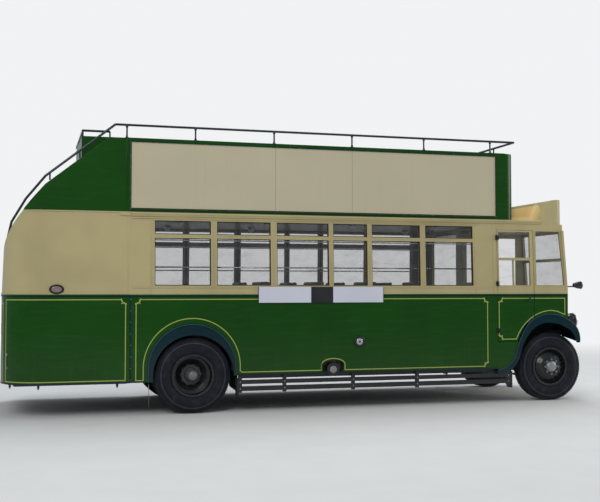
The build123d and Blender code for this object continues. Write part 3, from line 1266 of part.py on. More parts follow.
def lifeguard():
    """Nearside lifeguard: two long slats on hangers below the skirt, with end plates."""
    y0 = HALF_WIDTH - 55
    x0, x1 = GUARD_X
    guard = Part()
    for z, depth in SLATS:
        guard += block(x0, x1, y0, y0 + 28, z, z + depth)
    for x in HANGER_X:
        guard += block(x - 22, x + 22, y0 - 12, y0 + 28, SKIRT_Z - 222, SKIRT_Z - FIT)
    for a, b in ((x0, x0 + 26), (x1 - 26, x1)):
        guard += block(a, b, y0 - 90, y0 + 28, SKIRT_Z - 262, SKIRT_Z - FIT - 40)
    return guard


TANK_X = (NOTCH_X + 83, NOTCH_X + 743)
TANK_OUT_Y = HALF_WIDTH - 75
LOW_FILLER_Z = 534
LOW_FILLER_R = 52


def fuel_tank():
    """Fuel tank beside the frame on the offside."""
    tank = block(*TANK_X, -TANK_OUT_Y, -RAIL_Y - 90, 480, FLOOR_Z - FLOOR_DEPTH - FIT)
    return fillet(tank.edges().filter_by(Axis.X), 40)


def filler_caps():
    """The two filler caps: one in the side panel, one in the skirt's notch."""
    upper = round_y(FILLER_X, FILLER_Z, FILLER_R - FIT, -HALF_WIDTH - 16, WALL - HALF_WIDTH)
    lower = round_y(NOTCH_X, LOW_FILLER_Z, LOW_FILLER_R, -HALF_WIDTH, 10 - TANK_OUT_Y)
    stub = block(NOTCH_X - 20, TANK_X[0] - FIT, -TANK_OUT_Y - 25, 5 - TANK_OUT_Y, LOW_FILLER_Z - 19, LOW_FILLER_Z + 19)
    return [upper, lower + stub]


def advert_board(x0):
    """Nearside advertisement board with its frame, left blank."""
    z0, z1 = DECK_Z + 45 - BOARD_EDGE, DECK_Z + 858 + BOARD_EDGE
    y0, y1 = DECK_HALF_WIDTH, DECK_HALF_WIDTH + 12
    board = block(x0, BOARD_FRONT_X, y0, y1, z0, z1)
    rim_block = block(x0, BOARD_FRONT_X, y0, y1 + 9, z0, z1)
    inner = block(x0 + BOARD_EDGE, BOARD_FRONT_X - BOARD_EDGE, y0 - 1, y1 + 20, z0 + BOARD_EDGE, z1 - BOARD_EDGE)
    return board + (rim_block - inner)


ROUTE_X = (819, 2503)
ROUTE_Z = (WAIST_Z - 106, WAIST_Z + 96)
ROUTE_THICK = 14


def route_board():
    """Nearside slip board at the waist in three lengths, left blank."""
    y0 = HALF_WIDTH + MOULDING
    return block(*ROUTE_X, y0, y0 + ROUTE_THICK, *ROUTE_Z)


def seat_frame(x, y0, y1, floor, height):
    """Double seat facing forward: cushion, back and two legs."""
    depth = 420
    cushion = block(x, x + depth, y0, y1, floor + 400, floor + 470)
    back = polygon((x - 70, floor + height), (x - 30, floor + height), (x + 40, floor + 400), (x, floor + 400))
    seat = cushion + prism_y(back, y0, y1)
    for y in (y0 + 60, y1 - 90):
        seat += block(x + 60, x + 90, y, y + 30, floor, floor + 402)
        seat += block(x + 340, x + 370, y, y + 30, floor, floor + 402)
    return seat


SEAT_WIDTH = 830
LOWER_ROWS = [1010, 1740, 2470, 3200]
BENCH_X = (ARCH_X - 622, ARCH_X + 638)


def lower_seats():
    """Saloon seats: rows of doubles behind the wheel boxes and a bench over each box."""
    seats = []
    y1 = HALF_WIDTH - WALL - 20
    for x in LOWER_ROWS:
        seats += both(seat_frame(x, y1 - SEAT_WIDTH, y1, FLOOR_Z + FIT, 920))
    top = ARCH_Z + WHEEL_BOX_R + FIT
    bench = block(*BENCH_X, WHEEL_BOX_Y - 20, y1, top, top + 80)
    bench += block(*BENCH_X, y1 - 60, y1, top + 79, top + 480)
    seats += both(bench)
    return seats


UPPER_ROWS = [-350, 370, 1090, 1810, 2530, 3250]


def upper_seats():
    """Slatted seats of the open deck, one solid each."""
    seats = []
    y1 = DECK_HALF_WIDTH - UPPER_WALL - 20
    y0 = y1 - SEAT_WIDTH
    floor = DECK_Z + FIT
    for x in UPPER_ROWS:
        seat = Part()
        for y in (y0, y1 - 40):
            side = polygon((x - 60, floor + 820), (x - 20, floor + 820), (x + 60, floor + 440), (x + 400, floor + 440),
                           (x + 400, floor), (x + 360, floor), (x + 360, floor + 400), (x + 70, floor + 400),
                           (x + 70, floor), (x + 30, floor), (x + 20, floor + 440))
            seat += prism_y(side, y, y + 40)
        for k in range(4):
            seat += block(x + 60 + 88 * k, x + 126 + 88 * k, y0, y1, floor + 438, floor + 458)
        for k in range(3):
            z = floor + 540 + 100 * k
            seat += block(x - 35 - 14 * k, x - 5 - 14 * k + 14, y0, y1, z, z + 70)
        seats += both(seat)
    return seats


def platform_pole():
    """Grab pole from the platform to the deck at the entrance."""
    return rod((DECK_REAR_X + 60, DECK_HALF_WIDTH - 60, PLATFORM_Z + FIT),
               (DECK_REAR_X + 60, DECK_HALF_WIDTH - 60, CEILING_Z - FIT), 17)


def top_rail():
    """Rails round the deck: two sides, front and rear."""
    y = DECK_HALF_WIDTH - UPPER_WALL / 2
    x_front = DECK_FRONT_X - UPPER_WALL / 2
    rail = top_rail_side(-y, RAIL_POSTS, STAIR_HEAD_X + 65, x_front)
    rail += top_rail_side(y, RAIL_POSTS, DECK_REAR_X + 15, x_front)
    rail += rod((x_front, -y, RAIL_Z), (x_front, y, RAIL_Z), RAIL_R)
    for side_y_post in (-500, 500):
        rail += rod((x_front, side_y_post, PANEL_TOP_Z), (x_front, side_y_post, RAIL_Z), RAIL_R * 0.7)
    x_rear, y_guard = DECK_REAR_X + UPPER_WALL / 2, NEWEL_Y + UPPER_WALL / 2
    rail += rod((x_rear, y_guard, RAIL_Z), (x_rear, y, RAIL_Z), RAIL_R)
    rail += rod((x_rear, y_guard, RAIL_Z), (STAIR_HEAD_X + 45, y_guard, RAIL_Z), RAIL_R)
    for x, post_y in ((x_rear, y_guard), (x_rear, 400), (STAIR_HEAD_X + 45, y_guard)):
        rail += rod((x, post_y, GUARD_TOP_Z), (x, post_y, RAIL_Z), RAIL_R * 0.7)
    return rail + stair_handrail()


# Nodes of the vehicle

front_hub, rear_hub = Pos(WHEELBASE, FRONT_WHEEL_Y, TYRE_R), Pos(0, REAR_WHEEL_Y, TYRE_R)
twin_tyres = [rear_hub * tyre(0), rear_hub * tyre(-TWIN_PITCH)]

NODES = {
    # Chassis and running gear
    "chassis_frame": chassis_frame(),
    "front_axle": front_axle(),
    "rear_axle": rear_axle(),
    "leaf_springs": both(leaf_spring(*FRONT_SPRING)) + both(leaf_spring(*REAR_SPRING)),
    "engine": engine(),
    "gearbox_and_shaft": gearbox_and_shaft(),
    "radiator": radiator(),
    "bonnet_fixed": bonnet_fixed(),
    "bonnet_lid": bonnet_lid(),
    "wings": [front_wing() + wing_stays(), other_side(front_wing())],
    "arch_lips": both(arch_lip()),
    "knuckle_left": knuckle(),
    "knuckle_right": other_side(knuckle()),
    "track_rod": track_rod(),
    "front_wheel_left": front_hub * front_wheel(),
    "front_wheel_right": other_side(front_hub * front_wheel()),
    "front_tyre_left": front_hub * tyre(0),
    "front_tyre_right": other_side(front_hub * tyre(0)),
    "rear_wheels_left": rear_hub * rear_wheels(),
    "rear_wheels_right": other_side(rear_hub * rear_wheels()),
    "rear_tyres_left": twin_tyres,
    "rear_tyres_right": [other_side(solid) for solid in twin_tyres],
    "fuel_tank": fuel_tank(),
    "filler_caps": filler_caps(),
    "lifeguards": both(lifeguard()),
    # Saloon
    "side_panel_left": side_panel(),
    "side_panel_right": side_offside(),
    "window_wall_left": window_wall(),
    "window_wall_right": window_wall_offside(),
    "saloon_glass": saloon_glass() + [other_side(pane) for pane in saloon_glass()] + bulkhead_glass(),
    "bulkheads": [front_bulkhead(), rear_bulkhead()],
    "saloon_floor": saloon_floor(),
    "wheel_boxes": both(wheel_box()),
    "ceiling": ceiling(),
    "lower_seats": lower_seats(),
    # Rear platform and stair
    "rear_panel_lower": rear_panel_lower(),
    "rear_panel_upper": rear_panel_upper(),
    "stair_panel": stair_panel(),
    "rear_platform": rear_platform(),
    "staircase": staircase(),
    # Open deck
    "upper_floor": upper_floor(),
    "cornices": cornices(),
    "upper_sides": [upper_side(DECK_REAR_X + REAR_CORNER_R + FIT), other_side(upper_side(RAIL_POSTS[0]))],
    "upper_front": upper_front(),
    "upper_rear": upper_rear(),
    "hand_rails": [top_rail(), platform_pole()],
    "advert_boards": both(advert_board(SPLIT_X - BOARD_EDGE)),
    "route_boards": both(route_board()),
    "upper_seats": upper_seats(),
    # Cab and front
    "cab_front": cab_front(),
    "cab_side_walls": [cab_side(), cab_inner()],
    "cab_glass": windscreen() + [quarter_glass(), blind_glass()],
    "cab_door": cab_door(),
    "door_glass": door_glass(),
    "cab_roof": cab_roof(),
    "front_hood": front_hood(),
    "cab_floor": cab_floor(),
    "driver_seat": driver_seat(),
    "steering_wheel": steering_wheel(),
    "lamps": both(headlamp()) + [sidelamp(), oval_lamp()],
}

ORIGIN_SHIFT = (REAR_OVERHANG + MOULDING - WHEELBASE - FRONT_OVERHANG) / 2

os.makedirs("parts", exist_ok=True)
for name, shape in NODES.items():
    solids = shape if isinstance(shape, list) else [shape]
    whole = Compound([solid for item in solids for solid in item.solids()])
    export_step(Pos(ORIGIN_SHIFT, 0, 0) * whole, f"parts/{name}.step")
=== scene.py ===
"""Looks of an open-top half-cab double-deck bus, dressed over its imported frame.

Lengths are in metres in the frame's own axes: +X forward, +Y to the nearside, +Z up.
Stations along the bus are written ahead of the rear axle and pass through ``station``.
"""
from __future__ import annotations

import logging
import math
from dataclasses import dataclass
from enum import Enum
from typing import Callable, Iterable, Sequence

import bmesh
import bpy
from mathutils import Matrix, Vector

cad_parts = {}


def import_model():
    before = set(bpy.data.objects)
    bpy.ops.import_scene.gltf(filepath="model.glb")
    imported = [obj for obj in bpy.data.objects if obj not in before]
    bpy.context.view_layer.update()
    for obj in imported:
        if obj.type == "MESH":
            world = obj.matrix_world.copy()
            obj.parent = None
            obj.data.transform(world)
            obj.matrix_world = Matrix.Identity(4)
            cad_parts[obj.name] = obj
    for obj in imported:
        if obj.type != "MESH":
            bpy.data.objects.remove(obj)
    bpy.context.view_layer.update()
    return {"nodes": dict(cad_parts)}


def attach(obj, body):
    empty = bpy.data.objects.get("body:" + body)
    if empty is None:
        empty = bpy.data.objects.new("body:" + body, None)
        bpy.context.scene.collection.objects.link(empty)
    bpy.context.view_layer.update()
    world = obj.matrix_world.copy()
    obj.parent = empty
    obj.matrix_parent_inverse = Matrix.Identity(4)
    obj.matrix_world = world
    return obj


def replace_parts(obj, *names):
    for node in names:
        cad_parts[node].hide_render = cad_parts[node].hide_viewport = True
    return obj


LOG = logging.getLogger("bus")
Point = Sequence[float]
Flat = tuple[float, float]
Colour = tuple[float, float, float]
Place = Callable[[float, float, float], Point]

REAR_AXLE_X = -1.623
WHEELBASE = 5.029
HALF_WIDTH = 1.135
WAIST_Z = 1.479
DECK_Z = 2.5
LEAN = 0.035
WALL = 0.045
TYRE_R = 0.4675
FRONT_WHEEL_Y = 0.9325
REAR_WHEEL_Y = 0.9925
CORNER_R = 0.5
CORNER_X = -1.8
CORNER_Y = HALF_WIDTH - CORNER_R
ARCH_X = -0.018
BODY = "body"
AHEAD, OUTWARD, UP, DOWN = (1, 0, 0), (0, -1, 0), (0, 0, 1), (0, 0, -1)


def station(x: float) -> float:
    """Gives the frame's X of a point that is x metres ahead of the rear axle."""
    return x + REAR_AXLE_X


def side_y(z: float) -> float:
    """Gives the half width of the body at a height, which leans in above the waist."""
    return HALF_WIDTH - LEAN * min(max((z - WAIST_Z) / (DECK_Z - WAIST_Z), 0.0), 1.0)


def circle(count: int) -> list[Flat]:
    """Gives the cosine and sine of evenly spaced turns."""
    return [(math.cos(math.tau * k / count), math.sin(math.tau * k / count)) for k in range(count)]


class Side(Enum):
    """The two sides of the bus, as the sign of Y."""

    OFFSIDE = -1
    NEARSIDE = 1


# Nodes and shader maths

def add_node(tree: bpy.types.NodeTree, kind: str, settings: dict | None = None,
             inputs: dict | None = None) -> bpy.types.Node:
    """Adds a node to a tree.

    Args:
        tree: The tree.
        kind: The node's type.
        settings: Properties to set first.
        inputs: Values, wires, sockets, or nodes for their first output, by input name or number.

    Returns:
        The node.
    """
    made = tree.nodes.new(kind)
    for key, value in (settings or {}).items():
        setattr(made, key, value)
    for key, value in (inputs or {}).items():
        if isinstance(value, Wire):
            value = value.socket
        elif isinstance(value, bpy.types.Node):
            value = value.outputs[0]
        if isinstance(value, bpy.types.NodeSocket):
            tree.links.new(value, made.inputs[key])
        else:
            made.inputs[key].default_value = value
    return made


def operator(operation: str, reflected: bool = False) -> Callable:
    """Gives a method that adds one Math node.

    Args:
        operation: The node's operation.
        reflected: Whether the wire is the second value, as in 1 - mask.
    """
    def apply(wire: Wire, other: Wire | float = 0.0) -> Wire:
        """Adds the node."""
        first, second = (other, wire) if reflected else (wire, other)
        return wire.recipe.node("ShaderNodeMath", {"operation": operation}, {0: first, 1: second})
    return apply


@dataclass(frozen=True)
class Wire:
    """A shader socket that takes part in Python arithmetic."""

    recipe: Recipe
    socket: bpy.types.NodeSocket

    __add__ = __radd__ = operator("ADD")
    __sub__ = operator("SUBTRACT")
    __rsub__ = operator("SUBTRACT", reflected=True)
    __mul__ = __rmul__ = operator("MULTIPLY")
    __truediv__ = operator("DIVIDE")
    __mod__ = operator("FLOORED_MODULO")
    __abs__ = operator("ABSOLUTE")
    over = operator("GREATER_THAN")
    least = operator("MINIMUM")
    most = operator("MAXIMUM")
    root = operator("SQRT")
    sine = operator("SINE")

    def ease(self, low: float, high: float) -> Wire:
        """Rises smoothly from 0 at low to 1 at high, or falls where low is above high."""
        start, end = (0.0, 1.0) if low < high else (1.0, 0.0)
        return self.recipe.node("ShaderNodeMapRange", {"interpolation_type": "SMOOTHSTEP"},
                                {0: self, 1: min(low, high), 2: max(low, high), 3: start, 4: end})


class Recipe:
    """The node tree of one material, with the calls that the finishes share."""

    def __init__(self, name: str) -> None:
        """Starts an empty material."""
        self.material = bpy.data.materials.new(name)
        self.material.use_nodes = True
        self.tree = self.material.node_tree
        self.tree.nodes.clear()

    def node(self, kind: str, settings: dict | None = None, inputs: dict | None = None,
             output: int | str = 0) -> Wire:
        """Adds a node.

        Args:
            kind: The node's type.
            settings: Properties to set first.
            inputs: Values or wires by input name or number.
            output: Which output to return.

        Returns:
            The chosen output as a wire.
        """
        return Wire(self, add_node(self.tree, kind, settings, inputs).outputs[output])

    def place(self) -> Wire:
        """Gives the Object coordinates as a vector."""
        return self.node("ShaderNodeTexCoord", output="Object")

    def axes(self) -> tuple[Wire, Wire, Wire]:
        """Gives X, Y and Z of the Object coordinates."""
        split = self.node("ShaderNodeSeparateXYZ", inputs={0: self.place()})
        return tuple(Wire(self, out) for out in split.socket.node.outputs)

    def axle_distance(self) -> Wire:
        """Gives the distance from the nearer of the two axles' centre lines."""
        x, _, z = self.axes()
        along = abs(x - (REAR_AXLE_X + WHEELBASE / 2)) - WHEELBASE / 2
        up = z - TYRE_R
        return (along * along + up * up).root()

    def grain(self, scale: float, detail: float = 3.0, stretch: Point | None = None) -> Wire:
        """Gives a noise from 0 to 1, scaled by axis where its grain runs one way.

        Args:
            scale: Waves in a metre.
            detail: Number of finer layers.
            stretch: Scale by axis, or none.
        """
        where = self.place()
        if stretch is not None:
            where = self.node("ShaderNodeMapping", inputs={"Vector": where, "Scale": tuple(stretch)})
        return self.node("ShaderNodeTexNoise", inputs={"Vector": where, "Scale": scale, "Detail": detail,
                                                       "Roughness": 0.55})

    def coats(self, shade: Wire | Colour, *layers: tuple[Wire | float, Wire | Colour]) -> Wire:
        """Lays thin coats of colour over a ground.

        Args:
            shade: The ground.
            layers: Each coat's share, from 0 to 1, and its colour.
        """
        for share, colour in layers:
            pair = [part if isinstance(part, Wire) else (*part, 1.0) for part in (shade, colour)]
            inputs = {0: share, 6: pair[0], 7: pair[1]}
            shade = self.node("ShaderNodeMix", {"data_type": "RGBA"}, inputs, output=2)
        return shade

    def relief(self, *layers: tuple[Wire, float, float]) -> Wire:
        """Turns heights into a normal, each layer lying on the one before.

        Args:
            layers: Each layer's height from 0 to 1, the metres that 1 stands for, and its strength.
        """
        normal = None
        for height, distance, strength in layers:
            inputs = {"Strength": strength, "Distance": distance, "Height": height}
            if normal is not None:
                inputs["Normal"] = normal
            normal = self.node("ShaderNodeBump", inputs=inputs)
        return normal

    def finish(self, colour: Wire, rough: Wire | float, **sockets: Wire | float) -> bpy.types.Material:
        """Adds the surface shader and returns the material.

        Args:
            colour: Base colour.
            rough: Roughness.
            sockets: Other values by the short names of SOCKETS.
        """
        inputs = {"Base Color": colour, "Roughness": rough}
        inputs.update({SOCKETS[key]: value for key, value in sockets.items()})
        return self.output(self.node("ShaderNodeBsdfPrincipled", inputs=inputs))

    def output(self, shader: Wire) -> bpy.types.Material:
        """Links a shader to the material's output and returns the material."""
        made = self.tree.nodes.new("ShaderNodeOutputMaterial")
        self.tree.links.new(shader.socket, made.inputs[0])
        return self.material


SOCKETS = {
    "metal": "Metallic", "coat": "Coat Weight", "coat_rough": "Coat Roughness", "alpha": "Alpha",
    "normal": "Normal", "specular": "Specular IOR Level", "index": "IOR", "sheen": "Sheen Weight",
}


# Finishes

BLACK = (0.0, 0.0, 0.0)
DARK = (0.0015, 0.022, 0.030)
LAMP_BLACK = (0.006, 0.006, 0.007)
SIGN_INK = (0.012, 0.013, 0.016)
OPAL_WHITE = (0.75, 0.72, 0.62)
RUST_STREAK = (0.22, 0.17, 0.1)


class Finish:
    """A finish that makes its material once and hands the same one out after that."""

    _made: dict[Finish, bpy.types.Material] = {}

    def material(self) -> bpy.types.Material:
        """Gives the finish's material."""
        if self not in Finish._made:
            Finish._made[self] = self.mix_up()
        return Finish._made[self]

    def mix_up(self) -> bpy.types.Material:
        """Builds the material's nodes."""
        raise NotImplementedError


@dataclass(frozen=True)
class CoachPaint(Finish):
    """Brush-painted coachwork: one colour, or two that meet at the waist, with a lining colour inside.

    Args:
        colour: Paint below the waist, or everywhere.
        upper: Paint above the waist.
        inner: Colour of faces nearer the middle than the shell's thickness.
        inner_depth: Depth from the outer face at which the inner colour starts.
        gloss: Roughness of the paint.
        dirt: Share of road dust low on the body.
        band: Heights between which a dark line runs, or none.
    """

    name: str
    colour: Colour
    upper: Colour | None = None
    inner: Colour | None = None
    inner_depth: float = 0.03
    gloss: float = 0.2
    dirt: float = 0.06
    band: Flat | None = None

    def ground(self, mix: Recipe) -> Wire | Colour:
        """Gives the clean paint's colour at each place."""
        x, y, z = mix.axes()
        base = self.colour
        if self.upper is not None:
            base = mix.coats(base, (z.over(WAIST_Z), self.upper))
        if self.band is not None:
            base = mix.coats(base, (z.over(self.band[0]) - z.over(self.band[1]), DARK))
        if self.inner is not None:
            lean = ((z - WAIST_Z) / (DECK_Z - WAIST_Z)).most(0.0).least(1.0) * LEAN
            past = ((-1.0 * x) + station(CORNER_X)).most(0.0)
            across = (abs(y) - CORNER_Y).most(0.0)
            round_corner = (past * past + across * across).root() + CORNER_Y
            depth = (HALF_WIDTH - lean) - round_corner
            base = mix.coats(base, (depth.over(self.inner_depth), self.inner))
        return base

    def mix_up(self) -> bpy.types.Material:
        """Builds the paint: broad shading, brush marks, dust low down and a fine orange peel."""
        mix = Recipe(self.name)
        base, z = self.ground(mix), mix.axes()[2]
        broad = mix.grain(1.3, 2.0)
        streaks = mix.grain(9.0, 4.0, (0.35, 1.0, 3.0))
        runs = mix.grain(7.0, 5.0, (2.6, 2.6, 0.3)).ease(0.5, 0.85)
        low = z.ease(1.15, 0.35)
        dust = (low * 0.55 + low * runs * 0.9) * self.dirt
        specks = mix.grain(90.0, 2.0).ease(0.62, 0.72) * (low * 0.5 + 0.06)
        shade = mix.coats(base, (broad.ease(0.3, 0.75) * 0.16, BLACK),
                          (streaks.ease(0.45, 0.8) * 0.012, (0.55, 0.56, 0.5)),
                          ((dust + specks * self.dirt).least(0.6), (0.2, 0.17, 0.12)))
        normal = mix.relief((mix.grain(2.2, 1.0), 0.0035, 0.5), (mix.grain(260.0, 2.0), 0.00025, 0.35))
        rough = (dust * 0.5 + self.gloss + broad * 0.06).least(0.9)
        return mix.finish(shade, rough, specular=0.14, coat=0.08, coat_rough=0.07, normal=normal)


@dataclass(frozen=True)
class HoodPaint(CoachPaint):
    """Cream of the front hood, with a warm yellow painted on the recessed sides behind the destination box,
    standing in for warm light reflected onto them.

    Args:
        painted_glow: Colour painted on the recessed sides as warm reflected light.
        top_edge: Station and height where the hood's top edge starts, and its rise for each metre ahead.
        front: Station where the painted glow ends.
    """

    painted_glow: Colour = (0.84, 0.60, 0.26)
    top_edge: Point = (4.475, 2.655, 0.165)
    front: float = 4.93

    def ground(self, mix: Recipe) -> Wire | Colour:
        """Gives the hood's colour, with painted warm reflected light inwards below the hood's rising top edge.
        """
        x, y, z = mix.axes()
        start, height, rise = self.top_edge
        # Painted light: below the rising top edge the recessed sides take a warm yellow that stands for
        # reflected light.
        under = ((x - station(start)) * rise + height).over(z) * (1.0 - x.over(station(self.front)))
        return mix.coats(self.colour, (abs(y).ease(1.03, 0.90) * under, self.painted_glow))


@dataclass(frozen=True)
class Enamel(Finish):
    """Hard stove enamel or chassis black, with dust in the hollows and chips through to metal.

    Args:
        colour: The enamel's colour.
        gloss: Its roughness.
        dust: Share of dust.
        chips: Share of chipped spots.
        hub: Colour of the rear hubs, or none.
    """

    name: str
    colour: Colour
    gloss: float = 0.25
    dust: float = 0.3
    chips: float = 0.25
    hub: Colour | None = None

    def mix_up(self) -> bpy.types.Material:
        """Builds the enamel, with the hub's own colour inside the rear wheels where there is one."""
        mix = Recipe(self.name)
        x, _, z = mix.axes()
        ground = self.colour
        if self.hub is not None:
            hub_radius = 0.0985
            rear = (1.0 - mix.axle_distance().over(hub_radius)) * (1.0 - x.over(0.0))
            ground = mix.coats(ground, (rear, self.hub))
        film = mix.grain(14.0, 6.0).ease(0.42, 0.8) * self.dust
        low = z.ease(0.9, 0.1) * self.dust
        chip = mix.grain(55.0, 3.0).ease(0.73, 0.77) * self.chips
        shade = mix.coats(ground, (mix.grain(3.0, 4.0).ease(0.3, 0.8) * 0.25, BLACK),
                          ((film * 0.5 + low * 0.45).least(0.7), (0.17, 0.15, 0.12)),
                          (chip, (0.16, 0.07, 0.04)))
        rough = (film * 0.5 + self.gloss + chip * 0.4).least(0.95)
        normal = mix.relief((mix.grain(190.0, 2.0), 0.0003, 0.4), (1.0 - chip, 0.0004, 0.5))
        return mix.finish(shade, rough, specular=0.4, coat=0.1, coat_rough=0.12, normal=normal)


@dataclass(frozen=True)
class Bright(Finish):
    """Plated or polished metal with fine hazing and small pits."""

    name: str
    colour: Colour
    gloss: float
    haze: float = 0.18
    grain_scale: Point = (30.0, 30.0, 30.0)

    def mix_up(self) -> bpy.types.Material:
        """Builds the metal."""
        mix = Recipe(self.name)
        cloud = mix.grain(18.0, 5.0)
        lines = mix.grain(8.0, 3.0, self.grain_scale)
        pits = mix.grain(220.0, 2.0).ease(0.68, 0.74)
        shade = mix.coats(self.colour, (cloud.ease(0.4, 0.8) * 0.35, (0.36, 0.35, 0.33)),
                          (pits * 0.5, (0.12, 0.1, 0.08)))
        rough = cloud.ease(0.35, 0.85) * self.haze + lines * 0.06 + self.gloss + pits * 0.3
        return mix.finish(shade, rough, metal=1.0, normal=mix.relief((lines, 0.0002, 0.3)))


@dataclass(frozen=True)
class CastMetal(Finish):
    """Rough cast iron with oil stains and dust."""

    name: str
    colour: Colour = (0.09, 0.09, 0.09)

    def mix_up(self) -> bpy.types.Material:
        """Builds the casting."""
        mix = Recipe(self.name)
        oil = mix.grain(6.0, 5.0).ease(0.4, 0.7)
        skin = mix.grain(140.0, 4.0)
        shade = mix.coats(self.colour, (oil * 0.7, (0.02, 0.017, 0.013)),
                          (skin.ease(0.5, 0.8) * 0.25, (0.2, 0.18, 0.15)))
        return mix.finish(shade, 0.75 - oil * 0.35, metal=0.35, normal=mix.relief((skin, 0.0012, 0.7)))


@dataclass(frozen=True)
class TyreRubber(Finish):
    """Worn black rubber, dusty on the tread and dull on the walls.

    Args:
        worn: Middle, half width and share of each paler ring painted on the walls as a highlight.
    """

    name: str
    colour: Colour = (0.0085, 0.010, 0.015)
    worn: tuple = ((0.264, 0.010, 0.3), (0.404, 0.009, 0.5), (0.463, 0.007, 0.4))

    def mix_up(self) -> bpy.types.Material:
        """Builds the rubber, with highlights painted as paler rings along the ridges that stand out of the
        walls.
        """
        mix = Recipe(self.name)
        cloud, fine = mix.grain(11.0, 6.0), mix.grain(300.0, 3.0)
        dust = cloud.ease(0.42, 0.78) * 0.22 + fine.ease(0.55, 0.8) * 0.08
        radius = mix.axle_distance()
        # Painted highlight: each ring adds a paler band where light catches the walls' ridges, on top of the
        # real dust.
        for middle, half, share in self.worn:
            dust = dust + abs(radius - middle).ease(half, half * 0.4) * share
        shade = mix.coats(self.colour, (dust.least(0.8), (0.07, 0.075, 0.09)))
        normal = mix.relief((fine, 0.0005, 0.6), (mix.grain(38.0, 3.0), 0.0012, 0.35))
        return mix.finish(shade, 0.62 + cloud * 0.2, specular=0.2, normal=normal)


@dataclass(frozen=True)
class Timber(Finish):
    """Varnished or bare wood with its grain along one axis.

    Args:
        axis: Index of the axis that the grain follows.
        varnish: Coat over the wood, from 0 to 1.
        board: Width of one board across the bus, or 0 for one piece.
    """

    name: str
    light: Colour
    dark: Colour
    axis: int = 0
    varnish: float = 0.5
    board: float = 0.0

    def mix_up(self) -> bpy.types.Material:
        """Builds the wood: long grain, pores, and gaps and tints from board to board."""
        mix = Recipe(self.name)
        scale = [0.9 if axis == self.axis else 14.0 for axis in range(3)]
        long_grain, pores = mix.grain(2.6, 6.0, scale), mix.grain(11.0, 3.0, scale)
        wear = mix.grain(5.0, 4.0).ease(0.45, 0.75)
        shade = mix.coats(self.light, (long_grain.ease(0.32, 0.7), self.dark),
                          (pores.ease(0.58, 0.72) * 0.5, tuple(part * 0.35 for part in self.dark)),
                          (wear * 0.22, (0.3, 0.27, 0.22)))
        layers = [(pores, 0.0006, 0.5)]
        if self.board:
            across = mix.axes()[1] / self.board
            inside = across % 1.0
            tint = mix.node("ShaderNodeTexWhiteNoise", {"noise_dimensions": "1D"}, {"W": across - inside})
            edge = inside.least(1.0 - inside).ease(0.0, 0.05)
            shade = mix.coats((0.012, 0.01, 0.008), (edge, mix.coats(shade, (tint * 0.35, self.dark))))
            layers.append((edge, 0.003, 0.9))
        rough = 0.62 - self.varnish * 0.35 + wear * 0.15
        return mix.finish(shade, rough, coat=self.varnish * 0.5, coat_rough=0.16, normal=mix.relief(*layers))


@dataclass(frozen=True)
class DeckSeat(Finish):
    """Slatted deck seats: varnished slats between black iron end frames.

    Args:
        ends: Distances from the middle between which each side's slats lie.
    """

    name: str = "deck_seat_slats"
    ends: Flat = (0.262, 1.008)

    def mix_up(self) -> bpy.types.Material:
        """Builds worn varnish with grain along the slats, and black iron near the seats' ends."""
        mix = Recipe(self.name)
        across = abs(mix.axes()[1])
        iron = (1.0 - across.over(self.ends[0])) + across.over(self.ends[1])
        scale = (14.0, 0.9, 14.0)
        grain, pores = mix.grain(3.0, 6.0, scale), mix.grain(12.0, 3.0, scale)
        wear = mix.grain(4.0, 4.0).ease(0.45, 0.75)
        rust = mix.grain(40.0, 3.0).ease(0.7, 0.76) * 0.4
        wood = mix.coats((0.36, 0.22, 0.105), (grain.ease(0.3, 0.7), (0.19, 0.1, 0.045)),
                         (pores.ease(0.58, 0.72) * 0.5, (0.05, 0.03, 0.015)), (wear * 0.3, (0.34, 0.31, 0.26)))
        shade = mix.coats(wood, (iron, mix.coats((0.014, 0.014, 0.015), (rust, (0.12, 0.05, 0.025)))))
        normal = mix.relief((pores, 0.0005, 0.5))
        return mix.finish(shade, wear * 0.2 + 0.32, coat=0.2, coat_rough=0.15, normal=normal)


@dataclass(frozen=True)
class Moquette(Finish):
    """Short-pile seat cloth with a small woven figure and worn patches."""

    name: str
    ground: Colour
    figure: Colour
    fleck: Colour

    def mix_up(self) -> bpy.types.Material:
        """Builds the cloth: a lattice of lozenges, flecks and the lie of the pile."""
        mix = Recipe(self.name)
        x, y, z = mix.axes()
        along, across = (x + z) * 31.0, y * 44.0
        lozenge = abs((along + across) % 1.0 - 0.5) + abs((along - across) % 1.0 - 0.5)
        pile, nap = mix.grain(420.0, 2.0), mix.grain(7.0, 4.0)
        shade = mix.coats(self.ground, (lozenge.ease(0.5, 0.62), self.figure),
                          (lozenge.ease(0.16, 0.1), self.fleck),
                          (pile.ease(0.35, 0.75) * 0.5, (0.01, 0.008, 0.006)),
                          (nap.ease(0.5, 0.8) * 0.3, (0.24, 0.19, 0.15)))
        return mix.finish(shade, 0.93, specular=0.2, sheen=0.25, normal=mix.relief((pile, 0.0012, 0.8)))


@dataclass(frozen=True)
class Hide(Finish):
    """Leather with a pebbled grain, creases and rubbed high spots."""

    name: str
    colour: Colour

    def mix_up(self) -> bpy.types.Material:
        """Builds the leather."""
        mix = Recipe(self.name)
        pebble = mix.node("ShaderNodeTexVoronoi", inputs={"Vector": mix.place(), "Scale": 330.0})
        crease = mix.grain(22.0, 6.0, (1.0, 0.5, 1.0))
        wear = mix.grain(6.0, 3.0).ease(0.5, 0.8)
        rubbed = tuple(min(part * 2.4 + 0.03, 1.0) for part in self.colour)
        shade = mix.coats(self.colour, (wear * 0.5, rubbed), (pebble.ease(0.45, 0.1) * 0.2, BLACK))
        normal = mix.relief((pebble, 0.0005, 0.6), (crease, 0.0025, 0.3))
        return mix.finish(shade, 0.42 + wear * 0.18, specular=0.4, normal=normal)


